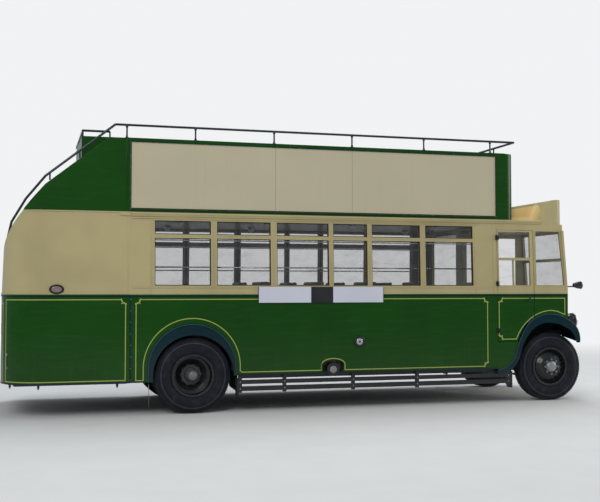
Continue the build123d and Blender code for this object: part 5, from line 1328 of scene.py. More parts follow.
@dataclass
class Mouldings(Assembly):
    """Beads, joint strips, rolled edges painted paler as highlights, and screws of the bodywork."""

    strip_x: float = -0.781
    strip_width: float = 0.022
    strip_top: float = 1.45
    bead: float = 0.012
    panel_joints: Flat = (1.66, 4.165)
    joints_cream: tuple = (-0.812, -0.536, 3.856, 4.118)
    skirt_z: float = 0.470
    rear_skirt_z: float = 0.411
    screw_pitch: float = 0.14
    stair_slope: tuple = ((-1.042, 3.410), (-1.80, 2.807))
    wing_edge: tuple = ((4.1659, 0.4491), (4.2394, 0.4602), (4.3086, 0.4896), (4.3682, 0.5353),
                        (4.4146, 0.5945), (4.4447, 0.663), (4.4687, 0.7496), (4.4998, 0.8333), (4.5379, 0.914),
                        (4.5826, 0.9912), (4.6336, 1.0641), (4.6795, 1.1051), (4.731, 1.1396),
                        (4.7868, 1.1667), (4.8458, 1.1859), (4.9068, 1.1967), (4.9689, 1.199),
                        (5.0353, 1.1952), (5.1006, 1.1832), (5.1639, 1.1631), (5.2242, 1.1353), (5.2807, 1.1),
                        (5.3401, 1.0599), (5.3869, 1.0066), (5.4189, 0.9433), (5.434, 0.8739), (5.431, 0.8022))

    def build(self) -> None:
        """Makes the strips, the rolled edges with their painted highlight, and the rows of screws."""
        strips = Maker("joint_strips")
        strips.half_round(OFFSIDE, self.strip_x, 0.405, self.strip_top, self.strip_width, DARK_GLOSS)
        for side in Side:
            place = on_side(side)
            lows = (self.skirt_z, self.skirt_z if side is Side.NEARSIDE else 0.84)
            for x, low in zip(self.panel_joints, lows):
                strips.half_round(place, x, low, self.strip_top, 0.008, GREEN_COACH)
            for x in self.joints_cream:
                strips.half_round(place, x, WAIST_Z + 0.004, 2.44, self.bead, CREAM_COACH)
            strips.ribbon([(-0.76, 2.425), (3.9, 2.425)], place, 0.014, 0.012, CREAM_COACH)
            strips.ribbon([(-0.76, 1.566), (4.165, 1.566)], place, 0.012, 0.006, CREAM_COACH)
        strips.ribbon(refine([(-0.80, 2.492), (-2.05, 2.492)]), round_rear, 0.014, 0.0075, CREAM_COACH)
        strips.ribbon([(-0.783, 2.468), (-0.915, 2.468)], round_rear, 0.034, 0.014, CREAM_COACH)
        strips.half_round(OFFSIDE, -0.835, 2.505, 3.405, self.bead, GREEN_COACH)
        for end, z, depth, finish in ((-3.28, WAIST_Z + 0.012, 0.0075, CREAM_COACH),
                                      (-3.38, self.rear_skirt_z, 0.006, DARK_GLOSS)):
            strips.ribbon(refine([(-0.80, z), (end, z)]), round_rear, 0.016, depth, finish)
        for side in Side:
            for x0, x1, z in ((-0.77, -0.58, self.rear_skirt_z), (0.545, 4.16, self.skirt_z)):
                strips.ribbon([(x0, z), (x1, z)], on_side(side), 0.016, 0.006, DARK_GLOSS)
        strips.done(bevel=0.002)
        self._rolled_edges()
        self._screws()

    def _rolled_edges(self) -> None:
        """Rolls an edge round each wheel arch and wing, painted a paler blue as a highlight, and caps the
        slope of the stair wall.
        """
        rise = [(-0.565, 0.412)] + arc((ARCH_X, 0.56), 0.547, 180, 0, 48) + [(0.529, 0.472)]
        runs = [[(station(x), side.value * y, z) for x, z in line]
                for side in Side for line, y in ((rise, 1.148), (self.wing_edge, 1.1425))]
        # Painted highlight: the beads' paler blue stands for light caught on the rolled edges.
        path_piece("painted_highlight_edges", runs, 0.009, 0.009, EDGE_HIGHLIGHT_PAINT, round_bar=True)
        slope = refine(self.stair_slope, 0.1)
        slope += [(CORNER_X - CORNER_R * math.radians(a), 2.806 - a * 0.0092) for a in (8, 16, 24, 32)]
        slope = [round_rear(s, z, -0.004) for s, z in slope]
        path_piece("stair_wall_capping", [slope], 0.013, 0.013, GREEN_COACH, round_bar=True)

    def _screws(self) -> None:
        """Lays rows of domed screws on the strips and along the panels' lower edges."""
        places = [(OFFSIDE(self.strip_x, 0.44 + k * self.screw_pitch, 0.006), OUTWARD) for k in range(8)]
        fasteners("strip_screws", places, 0.005, 0.002, STEEL)
        places = []
        for side in Side:
            for first, pitch, count, z in ((0.66, 0.15, 24, 0.487), (-0.70, 0.165, 29, 1.441)):
                places += [(on_side(side)(first + k * pitch, z, 0.0), (0, side.value, 0))
                           for k in range(count)]
        fasteners("panel_rivets", places, 0.0045, 0.0016, GREEN_COACH)


@dataclass
class Windows(Assembly):
    """Beads, rubbers, inner frames and catches round the saloon's lights.

    Args:
        bays: Rear edge and width of each light.
        main: Lower and upper edge of the main lights.
        top: Lower and upper edge of the top lights.
        corner: Radius of a light's corners.
    """

    bays: tuple = ((-0.489, 0.703), (0.291, 0.697), (1.068, 0.699), (1.826, 0.472), (2.360, 0.687),
                   (3.121, 0.698))
    main: Flat = (1.590, 2.180)
    top: Flat = (2.227, 2.397)
    bead: float = 0.016
    rubber: float = 0.009
    corner: float = 0.012

    def build(self) -> None:
        """Dresses each light outside and inside."""
        for side in Side:
            beads, rubbers, inner = [Maker(f"window_{word}_{side.name.lower()}")
                                     for word in ("beads", "rubbers", "garnish")]
            rows = ((beads, self.bead / 2, 0.0, self.bead, 0.004, CREAM_COACH),
                    (rubbers, -self.rubber / 2 - 0.0005, -0.0215, self.rubber, 0.007, SEAL),
                    (inner, 0.008, -WALL, 0.03, -0.008, VARNISHED))
            for x0, width in self.bays:
                for z0, z1 in (self.main, self.top):
                    for work, out, base, strip, depth, finish in rows:
                        outline = rounded(x0 - out, x0 + width + out, z0 - out, z1 + out, self.corner, 2)
                        work.ribbon(outline, on_side(side, base), strip, depth, finish, loop=True)
                place = on_side(side, -WALL - 0.008)
                middle = x0 + width / 2
                inner.box(place(middle - 0.02, 2.205, 0.0), place(middle + 0.02, 2.225, -0.012), BRASS, 0.003)
            for x0, width in self.bays:
                for x in (x0 - 0.034, x0 + width + 0.034):
                    beads.half_round(on_side(side), x, 1.60, 2.415, 0.009, CREAM_COACH)
            beads.done(bevel=0.0015)
            rubbers.done()
            inner.done(bevel=0.003)


# Wheels

@dataclass(frozen=True)
class Ring:
    """A ring of small blocks or nuts round an axle that runs along Y.

    Args:
        count: Number of copies.
        radius: Distance of each copy's middle from the axle.
        offset: Place along Y of each copy's middle.
        size: Length round the ring, width along Y and height away from the axle.
        tilt: Degrees that each copy leans sideways.
        phase: Share of a step that the ring is turned.
        nut: Whether each copy is a hexagon nut instead of a block.
    """

    count: int
    radius: float
    offset: float
    size: Point
    tilt: float = 0.0
    phase: float = 0.0
    nut: bool = False


def rings(name: str, centres: Sequence[Point], rows: Sequence[Ring], finish: Finish,
          body: str) -> bpy.types.Object:
    """Lays rings of blocks round one or more axle points.

    Args:
        name: The piece's name.
        centres: Middle of each wheel.
        rows: The rings that each wheel gets.
        finish: Finish of the blocks.
        body: The CAD body that they ride on.
    """
    work = Pattern(name, body)
    join = work.node("GeometryNodeJoinGeometry")
    for number, row in enumerate(rows):
        far = work.size(f"Radius {number}", row.radius)
        step = work.maths("ADD", work.node("GeometryNodeInputIndex"), row.phase)
        angle = work.maths("MULTIPLY", step, math.tau / row.count)
        across, up = [work.maths("MULTIPLY", work.maths(way, angle), far) for way in ("SINE", "COSINE")]
        spot = work.node("ShaderNodeCombineXYZ", inputs={0: across, 1: row.offset, 2: up})
        line = work.node("GeometryNodeMeshLine", inputs={"Count": row.count})
        laid = work.node("GeometryNodeSetPosition", inputs={0: line, "Position": spot})
        if row.nut:
            prism = {"Vertices": 6, "Radius": row.size[0] / 2, "Depth": row.size[1]}
            shape = work.node("GeometryNodeMeshCylinder", inputs=prism)
            shape = work.node("GeometryNodeTransform", inputs={0: shape, "Rotation": (math.pi / 2, 0, 0)})
        else:
            shape = work.node("GeometryNodeMeshCube", inputs={"Size": tuple(row.size)})
        turn = work.node("ShaderNodeCombineXYZ", inputs={0: math.radians(row.tilt), 1: angle})
        work.tree.links.new(work.copies(laid, shape, turn).outputs[0], join.inputs[0])
    return work.make(work.copies(work.start, join, (0, 0, 0)), finish, carrier(centres))


@dataclass
class Tyres(Assembly):
    """Six block-tread tyres that stand for the plain ones.

    Args:
        twin_pitch: Distance between the middles of a rear pair.
        wall: Distance from the tyre's middle and radius of each point of a wall.
    """

    tread_depth: float = 0.008
    twin_pitch: float = 0.242
    wall: tuple = ((0.071, 0.2563), (0.083, 0.266), (0.0865, 0.2735), (0.0895, 0.276), (0.0945, 0.296),
                   (0.0985, 0.301), (0.1005, 0.314), (0.1025, 0.322), (0.1062, 0.345), (0.1072, 0.359),
                   (0.1072, 0.379), (0.1055, 0.383), (0.1055, 0.388), (0.1066, 0.392), (0.1052, 0.404),
                   (0.1035, 0.408), (0.1025, 0.420), (0.1005, 0.4255), (0.0990, 0.4265), (0.0960, 0.4400),
                   (0.0900, 0.4505), (0.0800, 0.4570), (0.0600, 0.4592), (0.0300, 0.4596))

    def build(self) -> None:
        """Makes each axle end's tyres."""
        for word, sign in (("left", 1), ("right", -1)):
            self._set(f"front_tyre_{word}", f"front_wheel_{word}", station(WHEELBASE), [sign * FRONT_WHEEL_Y])
            self._set(f"rear_tyres_{word}", f"rear_wheels_{word}", station(0.0),
                      [sign * REAR_WHEEL_Y, sign * (REAR_WHEEL_Y - self.twin_pitch)])

    def _set(self, node: str, body: str, x: float, middles: Sequence[float]) -> None:
        """Makes the tyres of one node and their tread.

        Args:
            node: The CAD node that they stand for.
            body: The CAD body that they ride on.
            x: X of the axle.
            middles: Y of each tyre's middle.
        """
        work = Maker(f"{node}_carcass", body)
        profile = [(-y, r) for y, r in self.wall] + list(self.wall[::-1])
        for y in middles:
            work.lathe(profile, (x, y, TYRE_R), (0, 1, 0), RUBBER, sides=112, hollow=True)
        piece = work.done()
        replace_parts(piece, node)
        top, count = TYRE_R - self.tread_depth / 2 - 0.0004, 66
        rows = [Ring(count, top, 0.0, (0.031, 0.026, self.tread_depth))]
        for y, width, drop, phase in ((0.035, 0.030, 0.0, 0.5), (0.067, 0.024, 0.0008, 0.0)):
            rows += [Ring(count, top - drop, sign * y, (0.031, width, self.tread_depth), phase=phase)
                     for sign in (1, -1)]
        rows += [Ring(count * 2, 0.4525, sign * 0.0875, (0.0125, 0.0125, 0.027), tilt=sign * -35.0)
                 for sign in (1, -1)]
        tread = rings(f"{node}_tread", [(x, y, TYRE_R) for y in middles], rows, RUBBER, body)


@dataclass
class Hubs(Assembly):
    """Wheel nuts, studs, caps, rim rings and valves.

    Args:
        lobes: Number of lobes of the rear flange, and of its studs.
        rim_section: Section of the ring that holds the tyre.
    """

    lobes: int = 10
    rim_section: tuple = ((0.0865, 0.2600), (0.0955, 0.2600), (0.0975, 0.2630), (0.0965, 0.2690),
                          (0.0885, 0.2695))

    def build(self) -> None:
        """Dresses the four wheels."""
        for word, sign in (("left", 1), ("right", -1)):
            self._front(f"front_wheel_{word}", sign)
            self._rear(f"rear_wheels_{word}", sign)

    def _front(self, body: str, sign: int) -> None:
        """Dresses a front wheel: hub plate, ring of nuts, bright cap and split rim ring.

        Args:
            body: The wheel's CAD body.
            sign: The side as the sign of Y.
        """
        centre = (station(WHEELBASE), sign * FRONT_WHEEL_Y, TYRE_R)
        axis = (0, sign, 0)
        work = Maker(f"{body}_cap", body)
        work.lathe([(0.112, 0.120), (0.119, 0.118), (0.121, 0.112), (0.121, 0.076), (0.112, 0.074)], centre,
                   axis, WHEEL_ENAMEL)
        work.lathe([(0.116, 0.082), (0.126, 0.082), (0.130, 0.076), (0.148, 0.070), (0.158, 0.056),
                    (0.1605, 0.030), (0.162, 0.026), (0.1635, 0.012), (0.1638, 0.0)], centre, axis, STEEL)
        work.done()
        rings(f"{body}_nuts", [centre], [Ring(8, 0.099, sign * along, (width, 0.016, 0.03), nut=True)
                                         for along, width in ((0.126, 0.031), (0.137, 0.017))], STEEL, body)
        rivets = Ring(16, 0.171, sign * 0.086, (0.018, 0.010, 0.03), phase=0.25, nut=True)
        rings(f"{body}_rivets", [centre], [rivets], WHEEL_ENAMEL, body)
        self._rim_ring(body, centre, axis)

    def _rear(self, body: str, sign: int) -> None:
        """Dresses the outer rear wheel: lobed hub flange, studs, cap and split rim ring.

        Args:
            body: The wheels' CAD body.
            sign: The side as the sign of Y.
        """
        centre = (station(0.0), sign * REAR_WHEEL_Y, TYRE_R)
        axis = (0, sign, 0)
        work = Maker(f"{body}_flange", body)
        points = self.lobes * 8
        reaches = [0.129 + 0.011 * math.cos(math.tau * k * self.lobes / points) for k in range(points)]
        star = [Vector((reach * u, 0, reach * v)) for reach, (u, v) in zip(reaches, circle(points))]
        for start, end, shrink in ((-0.098, -0.080, 1.0), (-0.080, -0.074, 0.92)):
            work.loft([[Vector(centre) + Vector(axis) * along + spot * shrink for spot in star]
                       for along in (start, end)], STAR_GREY)
        work.lathe([(-0.075, 0.1005), (-0.066, 0.0965), (-0.058, 0.0965), (-0.052, 0.099)], centre, axis,
                   STAR_GREY)
        work.done(bevel=0.002)
        cap = Maker(f"{body}_cap", body)
        cap.lathe([(0.066, 0.052), (0.082, 0.052), (0.0865, 0.047), (0.088, 0.036), (0.0935, 0.033),
                   (0.095, 0.020), (0.0955, 0.0)], centre, axis, CAP_GREY)
        cap.done()
        studs = [Ring(self.lobes, 0.125, sign * along, (*size, 0.03), phase=0.5, nut=True)
                 for along, size in ((-0.068, (0.022, 0.016)), (-0.056, (0.012, 0.012)))]
        rings(f"{body}_studs", [centre], studs, IRON_BLACK, body)
        self._rim_ring(body, centre, axis)

    def _rim_ring(self, body: str, centre: Point, axis: Point) -> None:
        """Adds the split ring that holds the tyre, with the tyre's valve.

        Args:
            body: The wheel's CAD body.
            centre: Middle of the wheel.
            axis: Outward direction of its axle.
        """
        work = Maker(f"{body}_ring", body)
        line, middle = Vector(axis), Vector(centre)
        work.loft([[middle + line * along + Vector((u, 0, v)) * reach for along, reach in self.rim_section]
                   for u, v in arc((0, 0), 1, 2, 358, 96)], WHEEL_ENAMEL)
        valve = middle + Vector((0.21, 0.0, 0.06))
        work.tube([valve + line * along for along in (0.035, 0.075, 0.092)], 0.006, IRON_BLACK, sides=8)
        work.done()


# Seats

def pillow(name: str, low: Point, high: Point, crown: float, finish: Finish) -> bpy.types.Object:
    """Args:
        name: Name of the object.
        low: Lowest corner of the room that the cushion fills.
        high: Highest corner.
        crown: How far its faces may swell, in metres.
        finish: Cloth or leather of the cushion.
    """
    work = Maker(name)
    inset = crown * 0.7
    work.box([a + inset for a in low], [b - inset for b in high], finish, bevel=0.03)
    cushion = work.plain()
    bpy.context.view_layer.objects.active = cushion
    remesh = cushion.modifiers.new("even mesh", "REMESH")
    remesh.mode = "VOXEL"
    remesh.voxel_size = 0.019
    remesh.use_smooth_shade = True
    _apply(cushion)
    rest = [vert.co.copy() for vert in cushion.data.vertices]
    cloth = cushion.modifiers.new("cloth", "CLOTH")
    cloth.settings.use_pressure = True
    cloth.settings.uniform_pressure_force = 4.0
    cloth.settings.effector_weights.gravity = 0.0
    cloth.settings.tension_stiffness = 12.0
    cloth.settings.bending_stiffness = 0.6
    scene = bpy.context.scene
    for frame_number in range(1, 17):
        scene.frame_set(frame_number)
    _apply(cushion)
    scene.frame_set(1)
    for vert, start in zip(cushion.data.vertices, rest):
        move = vert.co - start
        if move.length > crown:
            vert.co = start + move.normalized() * crown
    return cushion


def _apply(piece: bpy.types.Object) -> None:
    """Turns a piece's modifiers into its mesh."""
    evaluated = piece.evaluated_get(bpy.context.evaluated_depsgraph_get())
    data = bpy.data.meshes.new_from_object(evaluated)
    for face in data.polygons:
        face.use_smooth = True
    piece.modifiers.clear()
    piece.data = data


def channelled(piece: bpy.types.Object, middle_y: float, pitch: float, depth: float) -> bpy.types.Object:
    """Presses sewn channels into a cushion, running fore and aft at a pitch across it, and gives it back."""
    for vert in piece.data.vertices:
        across = abs(((vert.co.y - middle_y) / pitch) % 1.0 - 0.5) * 2.0
        dip = max(0.0, 1.0 - (1.0 - across) * pitch / 0.035)
        vert.co += vert.normal * (-depth * dip)
    return piece


def scattered(name: str, source: bpy.types.Object, shifts: Sequence[Point] = ((0, 0, 0),)) -> bpy.types.Object:
    """Copies a cushion to each of its places as one piece and removes the original.

    Args:
        name: Name of the finished piece.
        source: The cushion to copy.
        shifts: How far each copy is moved.
    """
    mesh = bmesh.new()
    for shift in shifts:
        start = len(mesh.verts)
        mesh.from_mesh(source.data)
        mesh.verts.ensure_lookup_table()
        for vert in mesh.verts[start:]:
            vert.co += Vector(shift)
    data = bpy.data.meshes.new(name)
    mesh.to_mesh(data)
    mesh.free()
    for material in source.data.materials:
        data.materials.append(material)
    bpy.data.objects.remove(source)
    piece = linked(name, data)
    finer = piece.modifiers.new("finer", "SUBSURF")
    finer.levels = 1
    finer.render_levels = 1
    return riding(piece, BODY)


@dataclass
class SaloonSeats(Assembly):
    """Sprung moquette seats of the saloon: four rows of doubles and a bench over each wheel box.

    Args:
        rows: Station of each row's rear.
        legs: Distances of a seat's rear and front legs from there.
        bench_x: Stations of the benches' ends.
    """

    rows: tuple = (1.010, 1.740, 2.470, 3.200)
    floor: float = 0.7103
    outer_y: float = 1.07
    width: float = 0.83
    depth: float = 0.42
    height: float = 0.92
    legs: Flat = (0.075, 0.355)
    rail: float = 0.372
    bench_x: Flat = (-0.64, 0.62)
    bench_y: float = 0.60
    bench_z: float = 1.0903

    def build(self) -> None:
        """Makes the cushions, the squabs, their edges and the frames that stand for the plain seats."""
        inner_y = self.outer_y - self.width
        shifts = [(x - self.rows[0], 0.0, 0.0) for x in self.rows]
        shifts += [(dx, -(self.outer_y + inner_y), 0.0) for dx, _, _ in shifts]
        x = station(self.rows[0])
        middle = self.outer_y - self.width / 2
        low_y, high_y = inner_y + 0.012, self.outer_y - 0.012
        seat = pillow("seat", (x + 0.005, low_y, self.floor + 0.395),
                      (x + self.depth, high_y, self.floor + 0.480), 0.020, CLOTH)
        seat = channelled(seat, middle, self.width / 2, 0.012)
        scattered("saloon_cushions", seat, shifts)
        back = pillow("back", (-0.035, low_y, 0.0), (0.035, high_y, self.height - 0.43), 0.014, CLOTH)
        back = channelled(back, middle, self.width / 2, 0.01)
        lean = -0.075 / (self.height - 0.4)
        for vert in back.data.vertices:
            vert.co += Vector((x + 0.02 + vert.co.z * lean, 0.0, self.floor + 0.425))
        scattered("saloon_squabs", back, shifts)
        frames = self._frames(inner_y)
        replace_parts(frames, "lower_seats")
        self._benches()

    def _frames(self, inner_y: float) -> bpy.types.Object:
        """Makes the tube legs, wooden seat rails, leather roll, grab handle and bench risers."""
        work = Maker("saloon_seat_frames")
        floor, rail, top = self.floor, self.floor + self.rail, self.floor + self.height
        for side in Side:
            for row in self.rows:
                x = station(row)
                rear, front = [x + leg for leg in self.legs]
                for y in (side.value * (inner_y + 0.07), side.value * (self.outer_y - 0.08)):
                    work.tube([(rear, y, floor), (rear, y, rail), (front, y, rail), (front, y, floor)], 0.013,
                              IRON_BLACK)
                    work.tube([(rear, y, floor + 0.13), (front, y, floor + 0.13)], 0.008, IRON_BLACK)
                    for foot in (rear, front):
                        work.lathe([(0.0, 0.030), (0.006, 0.028), (0.009, 0.015)], (foot, y, floor), UP,
                                   IRON_BLACK, sides=16)
                ends = sorted((side.value * inner_y, side.value * self.outer_y))
                work.box((x - 0.002, ends[0], rail), (x + self.depth - 0.004, ends[1], rail + 0.026),
                         VARNISHED, 0.006)
                self._back(work, x, ends)
                hold = side.value * (inner_y + 0.02)
                grip = ((-0.045, 0.0, -0.14), (-0.052, 0.0, -0.02), (-0.055, 0.02, 0.0), (-0.055, 0.13, 0.0))
                work.tube([(x + u, hold + side.value * v, top + w) for u, v, w in grip], 0.011, CHROME)
            rear, front = [station(x) for x in self.bench_x]
            work.box((rear, side.value * 0.59, self.bench_z),
                     (front, side.value * self.outer_y, self.bench_z + 0.012), VARNISHED, 0.004)
        return work.done()

    def _back(self, work: Maker, x: float, ends: Sequence[float]) -> None:
        """Adds the wooden back board and the leather roll along its top.

        Args:
            work: Collects the seats' frames.
            x: X of the seat's rear.
            ends: Y of the seat's two ends.
        """
        top, foot = self.floor + self.height - 0.012, self.floor + 0.400
        work.loft([[(x - 0.066, y, top), (x - 0.055, y, top), (x + 0.010, y, foot), (x - 0.002, y, foot)]
                   for y in ends], VARNISHED, smooth=False)
        roll = [(x - 0.045, ends[0] + 0.012, top), (x - 0.045, ends[1] - 0.012, top)]
        work.tube(roll, 0.022, LEATHER, sides=16)

    def _benches(self) -> None:
        """Makes the two long benches over the wheel boxes, each as a cushion and a squab."""
        x0, x1 = (station(x) for x in self.bench_x)
        far = self.outer_y
        for word, low, high, crown, mirror in (
                ("cushions", (self.bench_y, 0.012), (far - 0.07, 0.10), 0.014, far + self.bench_y - 0.07),
                ("squabs", (far - 0.075, 0.09), (far - 0.004, 0.48), 0.012, 2 * far - 0.079)):
            pad = pillow(f"bench_{word}_pad", (x0 + 0.005, low[0], self.bench_z + low[1]),
                         (x1 - 0.005, high[0], self.bench_z + high[1]), crown, CLOTH)
            self._press_across(pad.data, x0, x1)
            pads = scattered(f"bench_{word}", pad, [(0, 0, 0), (0, -mirror, 0)])

    @staticmethod
    def _press_across(data: bpy.types.Mesh, x0: float, x1: float) -> None:
        """Presses two channels across a bench, between its three places."""
        pitch = (x1 - x0) / 3
        for vert in data.vertices:
            near = abs(((vert.co.x - x0) / pitch + 0.5) % 1.0 - 0.5) * pitch
            vert.co += vert.normal * (-0.010 * max(0.0, 1.0 - near / 0.02))


@dataclass
class DriverSeat(Assembly):
    """The driver's padded leather seat on its pressed steel pedestal."""

    x: float = 4.293
    y: Flat = (-0.80, -0.36)
    floor: float = 0.8653

    def build(self) -> None:
        """Makes the cushion, the squab and the pedestal that stand for the plain seat."""
        x = station(self.x)
        y0, y1 = self.y
        for word, rear, front, low, high, crown in (("cushion", 0.0, 0.45, 1.18, 1.29, 0.016),
                                                    ("squab", -0.06, 0.04, 1.285, 1.76, 0.014)):
            pad = pillow(f"driver_{word}_pad", (x + rear, y0, low), (x + front, y1, high), crown, LEATHER)
            pad = channelled(pad, (y0 + y1) / 2, 0.11, 0.007)
            scattered(f"driver_{word}", pad)
        work = Maker("driver_pedestal")
        work.box((x + 0.06, -0.635, self.floor), (x + 0.38, y1 - 0.05, self.floor + 0.02), CHASSIS_BLACK,
                 0.004)
        for y in (-0.61, y1 - 0.09):
            work.tube([(x + along, y, z) for along, z in ((0.08, self.floor), (0.08, 1.16), (0.36, 1.16),
                                                          (0.36, self.floor))], 0.016, CHASSIS_BLACK)
        work.box((x + 0.01, y0 + 0.01, 1.155), (x + 0.44, y1 - 0.01, 1.182), CHASSIS_BLACK, 0.006)
        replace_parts(work.done(), "driver_seat")


# Open deck and boards

@dataclass
class Boards(Assembly):
    """Blank advertisement boards, with their frames, joints and screws.

    Args:
        joints: Stations of the joints between a board's sheets.
        screw_count: Screws along each long edge.
    """

    board_x: Flat = (-0.792, 4.168)
    board_z: Flat = (2.533, 3.370)
    frame: float = 0.012
    joints: Flat = (1.05, 2.09)
    screw_count: int = 17

    def build(self) -> None:
        """Dresses both sides' boards."""
        work = Maker("board_frames")
        screws = []
        half = self.frame / 2
        x0, x1 = self.board_x[0] + half, self.board_x[1] - half
        z0, z1 = self.board_z[0] + half, self.board_z[1] - half
        for side in Side:
            work.ribbon([(x0, z0), (x1, z0), (x1, z1), (x0, z1)], on_side(side, 0.0212), self.frame, 0.0015,
                        DARK_GLOSS, loop=True)
            for x in self.joints:
                work.ribbon([(x, z0 + half), (x, z1 - half)], on_side(side, 0.0115), 0.006, 0.0015, BOARD_EDGE)
            spots = [(x0 + (x1 - x0) * k / (self.screw_count - 1), z)
                     for k in range(self.screw_count) for z in (z0, z1)]
            spots += [(x, self.board_z[0] + 0.13 * k) for x in (x0, x1) for k in range(1, 6)]
            screws += [(on_side(side)(x, z, 0.0225), (0, side.value, 0)) for x, z in spots]
        work.done(bevel=0.001)
        fasteners("board_screws", screws, 0.0038, 0.002, STEEL)


@dataclass
class DeckFittings(Assembly):
    """Flanges of the deck's rails, capping strips of its sides and battens of its gangway."""

    posts: tuple = (-0.835, 0.018, 1.038, 2.096, 3.117, 4.100)
    rail_y: float = 1.085
    top: float = 3.41
    rail_z: float = 3.572

    def build(self) -> None:
        """Makes the deck's fittings."""
        work = Maker("rail_flanges")
        for side in Side:
            for x in self.posts:
                spot = (station(x), side.value * self.rail_y)
                foot = [(0.0, 0.026), (0.006, 0.026), (0.010, 0.015), (0.030, 0.0135)]
                work.lathe(foot, (*spot, self.top), UP, RAIL_ENAMEL, 20)
                head = [(-0.024, 0.0118), (-0.020, 0.0165), (0.012, 0.0165)]
                work.lathe(head, (*spot, self.rail_z - 0.008), UP, RAIL_ENAMEL, 16)
        work.done()
        caps = Maker("deck_capping")
        low, high = self.top - 0.002, self.top + 0.004
        for side, rear in ((Side.OFFSIDE, -0.82), (Side.NEARSIDE, -1.14)):
            y = side.value * self.rail_y
            caps.box((station(rear), y - 0.0165, low), (station(4.32), y + 0.0145, high), GREEN_COACH, 0.002)
        caps.box((station(4.446), -0.94, low), (station(4.4745), 0.94, high), GREEN_COACH, 0.002)
        caps.done()
        z = DECK_Z + 0.006
        runs = [[(station(x), -0.17 + 0.06 * k, z) for x in (-0.95, 4.375)] for k in range(7)]
        path_piece("deck_battens", runs, 0.03, 0.012, DECK_BOARDS)


# Rear platform and stair

@dataclass
class RearFittings(Assembly):
    """Stair nosings, platform slats and edges, grab handle, pole's flanges and brackets at the rear.

    Args:
        newel: Station and Y of the post that the winders turn round.
        low: Height of the platform.
        handle_s: Place of the grab handle along the wall.
        handle_z: Heights of its two feet.
    """

    newel: Flat = (-1.685, -0.52)
    steps: int = 10
    rise: float = 0.207
    going: float = 0.222
    low: float = 0.43
    handle_s: float = -2.315
    handle_z: Flat = (0.60, 0.76)

    def build(self) -> None:
        """Makes the rear's fittings."""
        self._nosings()
        self._platform()
        self._handles()
        self._underside()

    def _nosings(self) -> None:
        """Runs a brass strip along the front of each tread, clear of the wall."""
        x0, y0 = self.newel
        runs = []
        for k in range(1, self.steps):
            if k <= 3:
                y = y0 + (4 - k) * self.going - 0.012
                run = [(x0 + 0.02, y), (-2.235, y)]
            elif k <= 6:
                turn = math.radians(180 + 30 * (k - 4) + 1.2)
                run = [(x0 + reach * math.cos(turn), y0 + reach * math.sin(turn)) for reach in (0.04, 0.53)]
            else:
                x = x0 + (k - 7) * (-1.04 - x0) / 3 + 0.012
                run = [(x, y0 - 0.02), (x, -1.05)]
            runs.append([(station(x), y, self.low + k * self.rise + 0.003) for x, y in run])
        path_piece("stair_nosings", runs, 0.022, 0.006, BRASS)

    def _platform(self) -> None:
        """Lays wooden treads on the platform, a bright edge along its side and a riser to the saloon."""
        runs = [[(station(-1.55 + 0.06 * k), y, self.low + 0.005) for y in (-0.25, 1.07)] for k in range(12)]
        path_piece("platform_slats", runs, 0.034, 0.010, FLOOR_BOARDS)
        edge = Maker("platform_edge")
        edge.box((station(-1.79), 1.115, 0.396), (station(-0.785), 1.1349, 0.4335), ALUMINIUM, 0.003)
        edge.done()
        riser = Maker("platform_riser")
        riser.box((station(-0.800), -1.088, 0.4302), (station(-0.7812), 1.088, 0.7095), VARNISHED, 0.003)
        riser.done()

    def _handles(self) -> None:
        """Adds the grab handle on the rear panel and the rings at the foot and head of the pole."""
        work = Maker("rear_grab_handle")
        low, high = self.handle_z
        bar = ((low, 0.0), (low, 0.004), (low + 0.025, 0.0065), (high - 0.025, 0.0065), (high, 0.004),
               (high, 0.0))
        work.tube([round_rear(self.handle_s, z, out) for z, out in bar], 0.0052, STEEL, sides=10)
        for z in self.handle_z:
            foot = Vector(round_rear(self.handle_s, z, 0.0))
            away = Vector(round_rear(self.handle_s, z, 0.01)) - foot
            work.lathe([(-0.001, 0.018), (0.003, 0.016)], foot, away, STEEL, 16)
        work.done()
        pole = Maker("pole_flanges")
        for z, way in ((0.4303, UP), (2.4455, DOWN)):
            pole.lathe([(0.0, 0.042), (0.006, 0.040), (0.012, 0.026), (0.035, 0.021)],
                       (station(-1.29), 1.04, z), way, BRASS, 24)
        pole.done()

    def _underside(self) -> None:
        """Adds the small brackets and the thin rod that hang below the rear skirt."""
        work = Maker("rear_brackets")
        for x, y in ((-2.19, -0.78), (-1.86, -1.05), (-0.93, -1.05)):
            x = station(x)
            work.box((x - 0.014, y - 0.02, 0.36), (x + 0.014, y + 0.02, 0.4045), CHASSIS_BLACK, 0.004)
            work.lathe([(0.0, 0.011), (0.014, 0.011), (0.018, 0.006)], (x, y, 0.36), DOWN, STEEL, 10)
        work.tube([(station(-0.556), -1.12, z) for z in (0.415, 0.10)], 0.004, STEEL, sides=8)
        work.done()


# Front

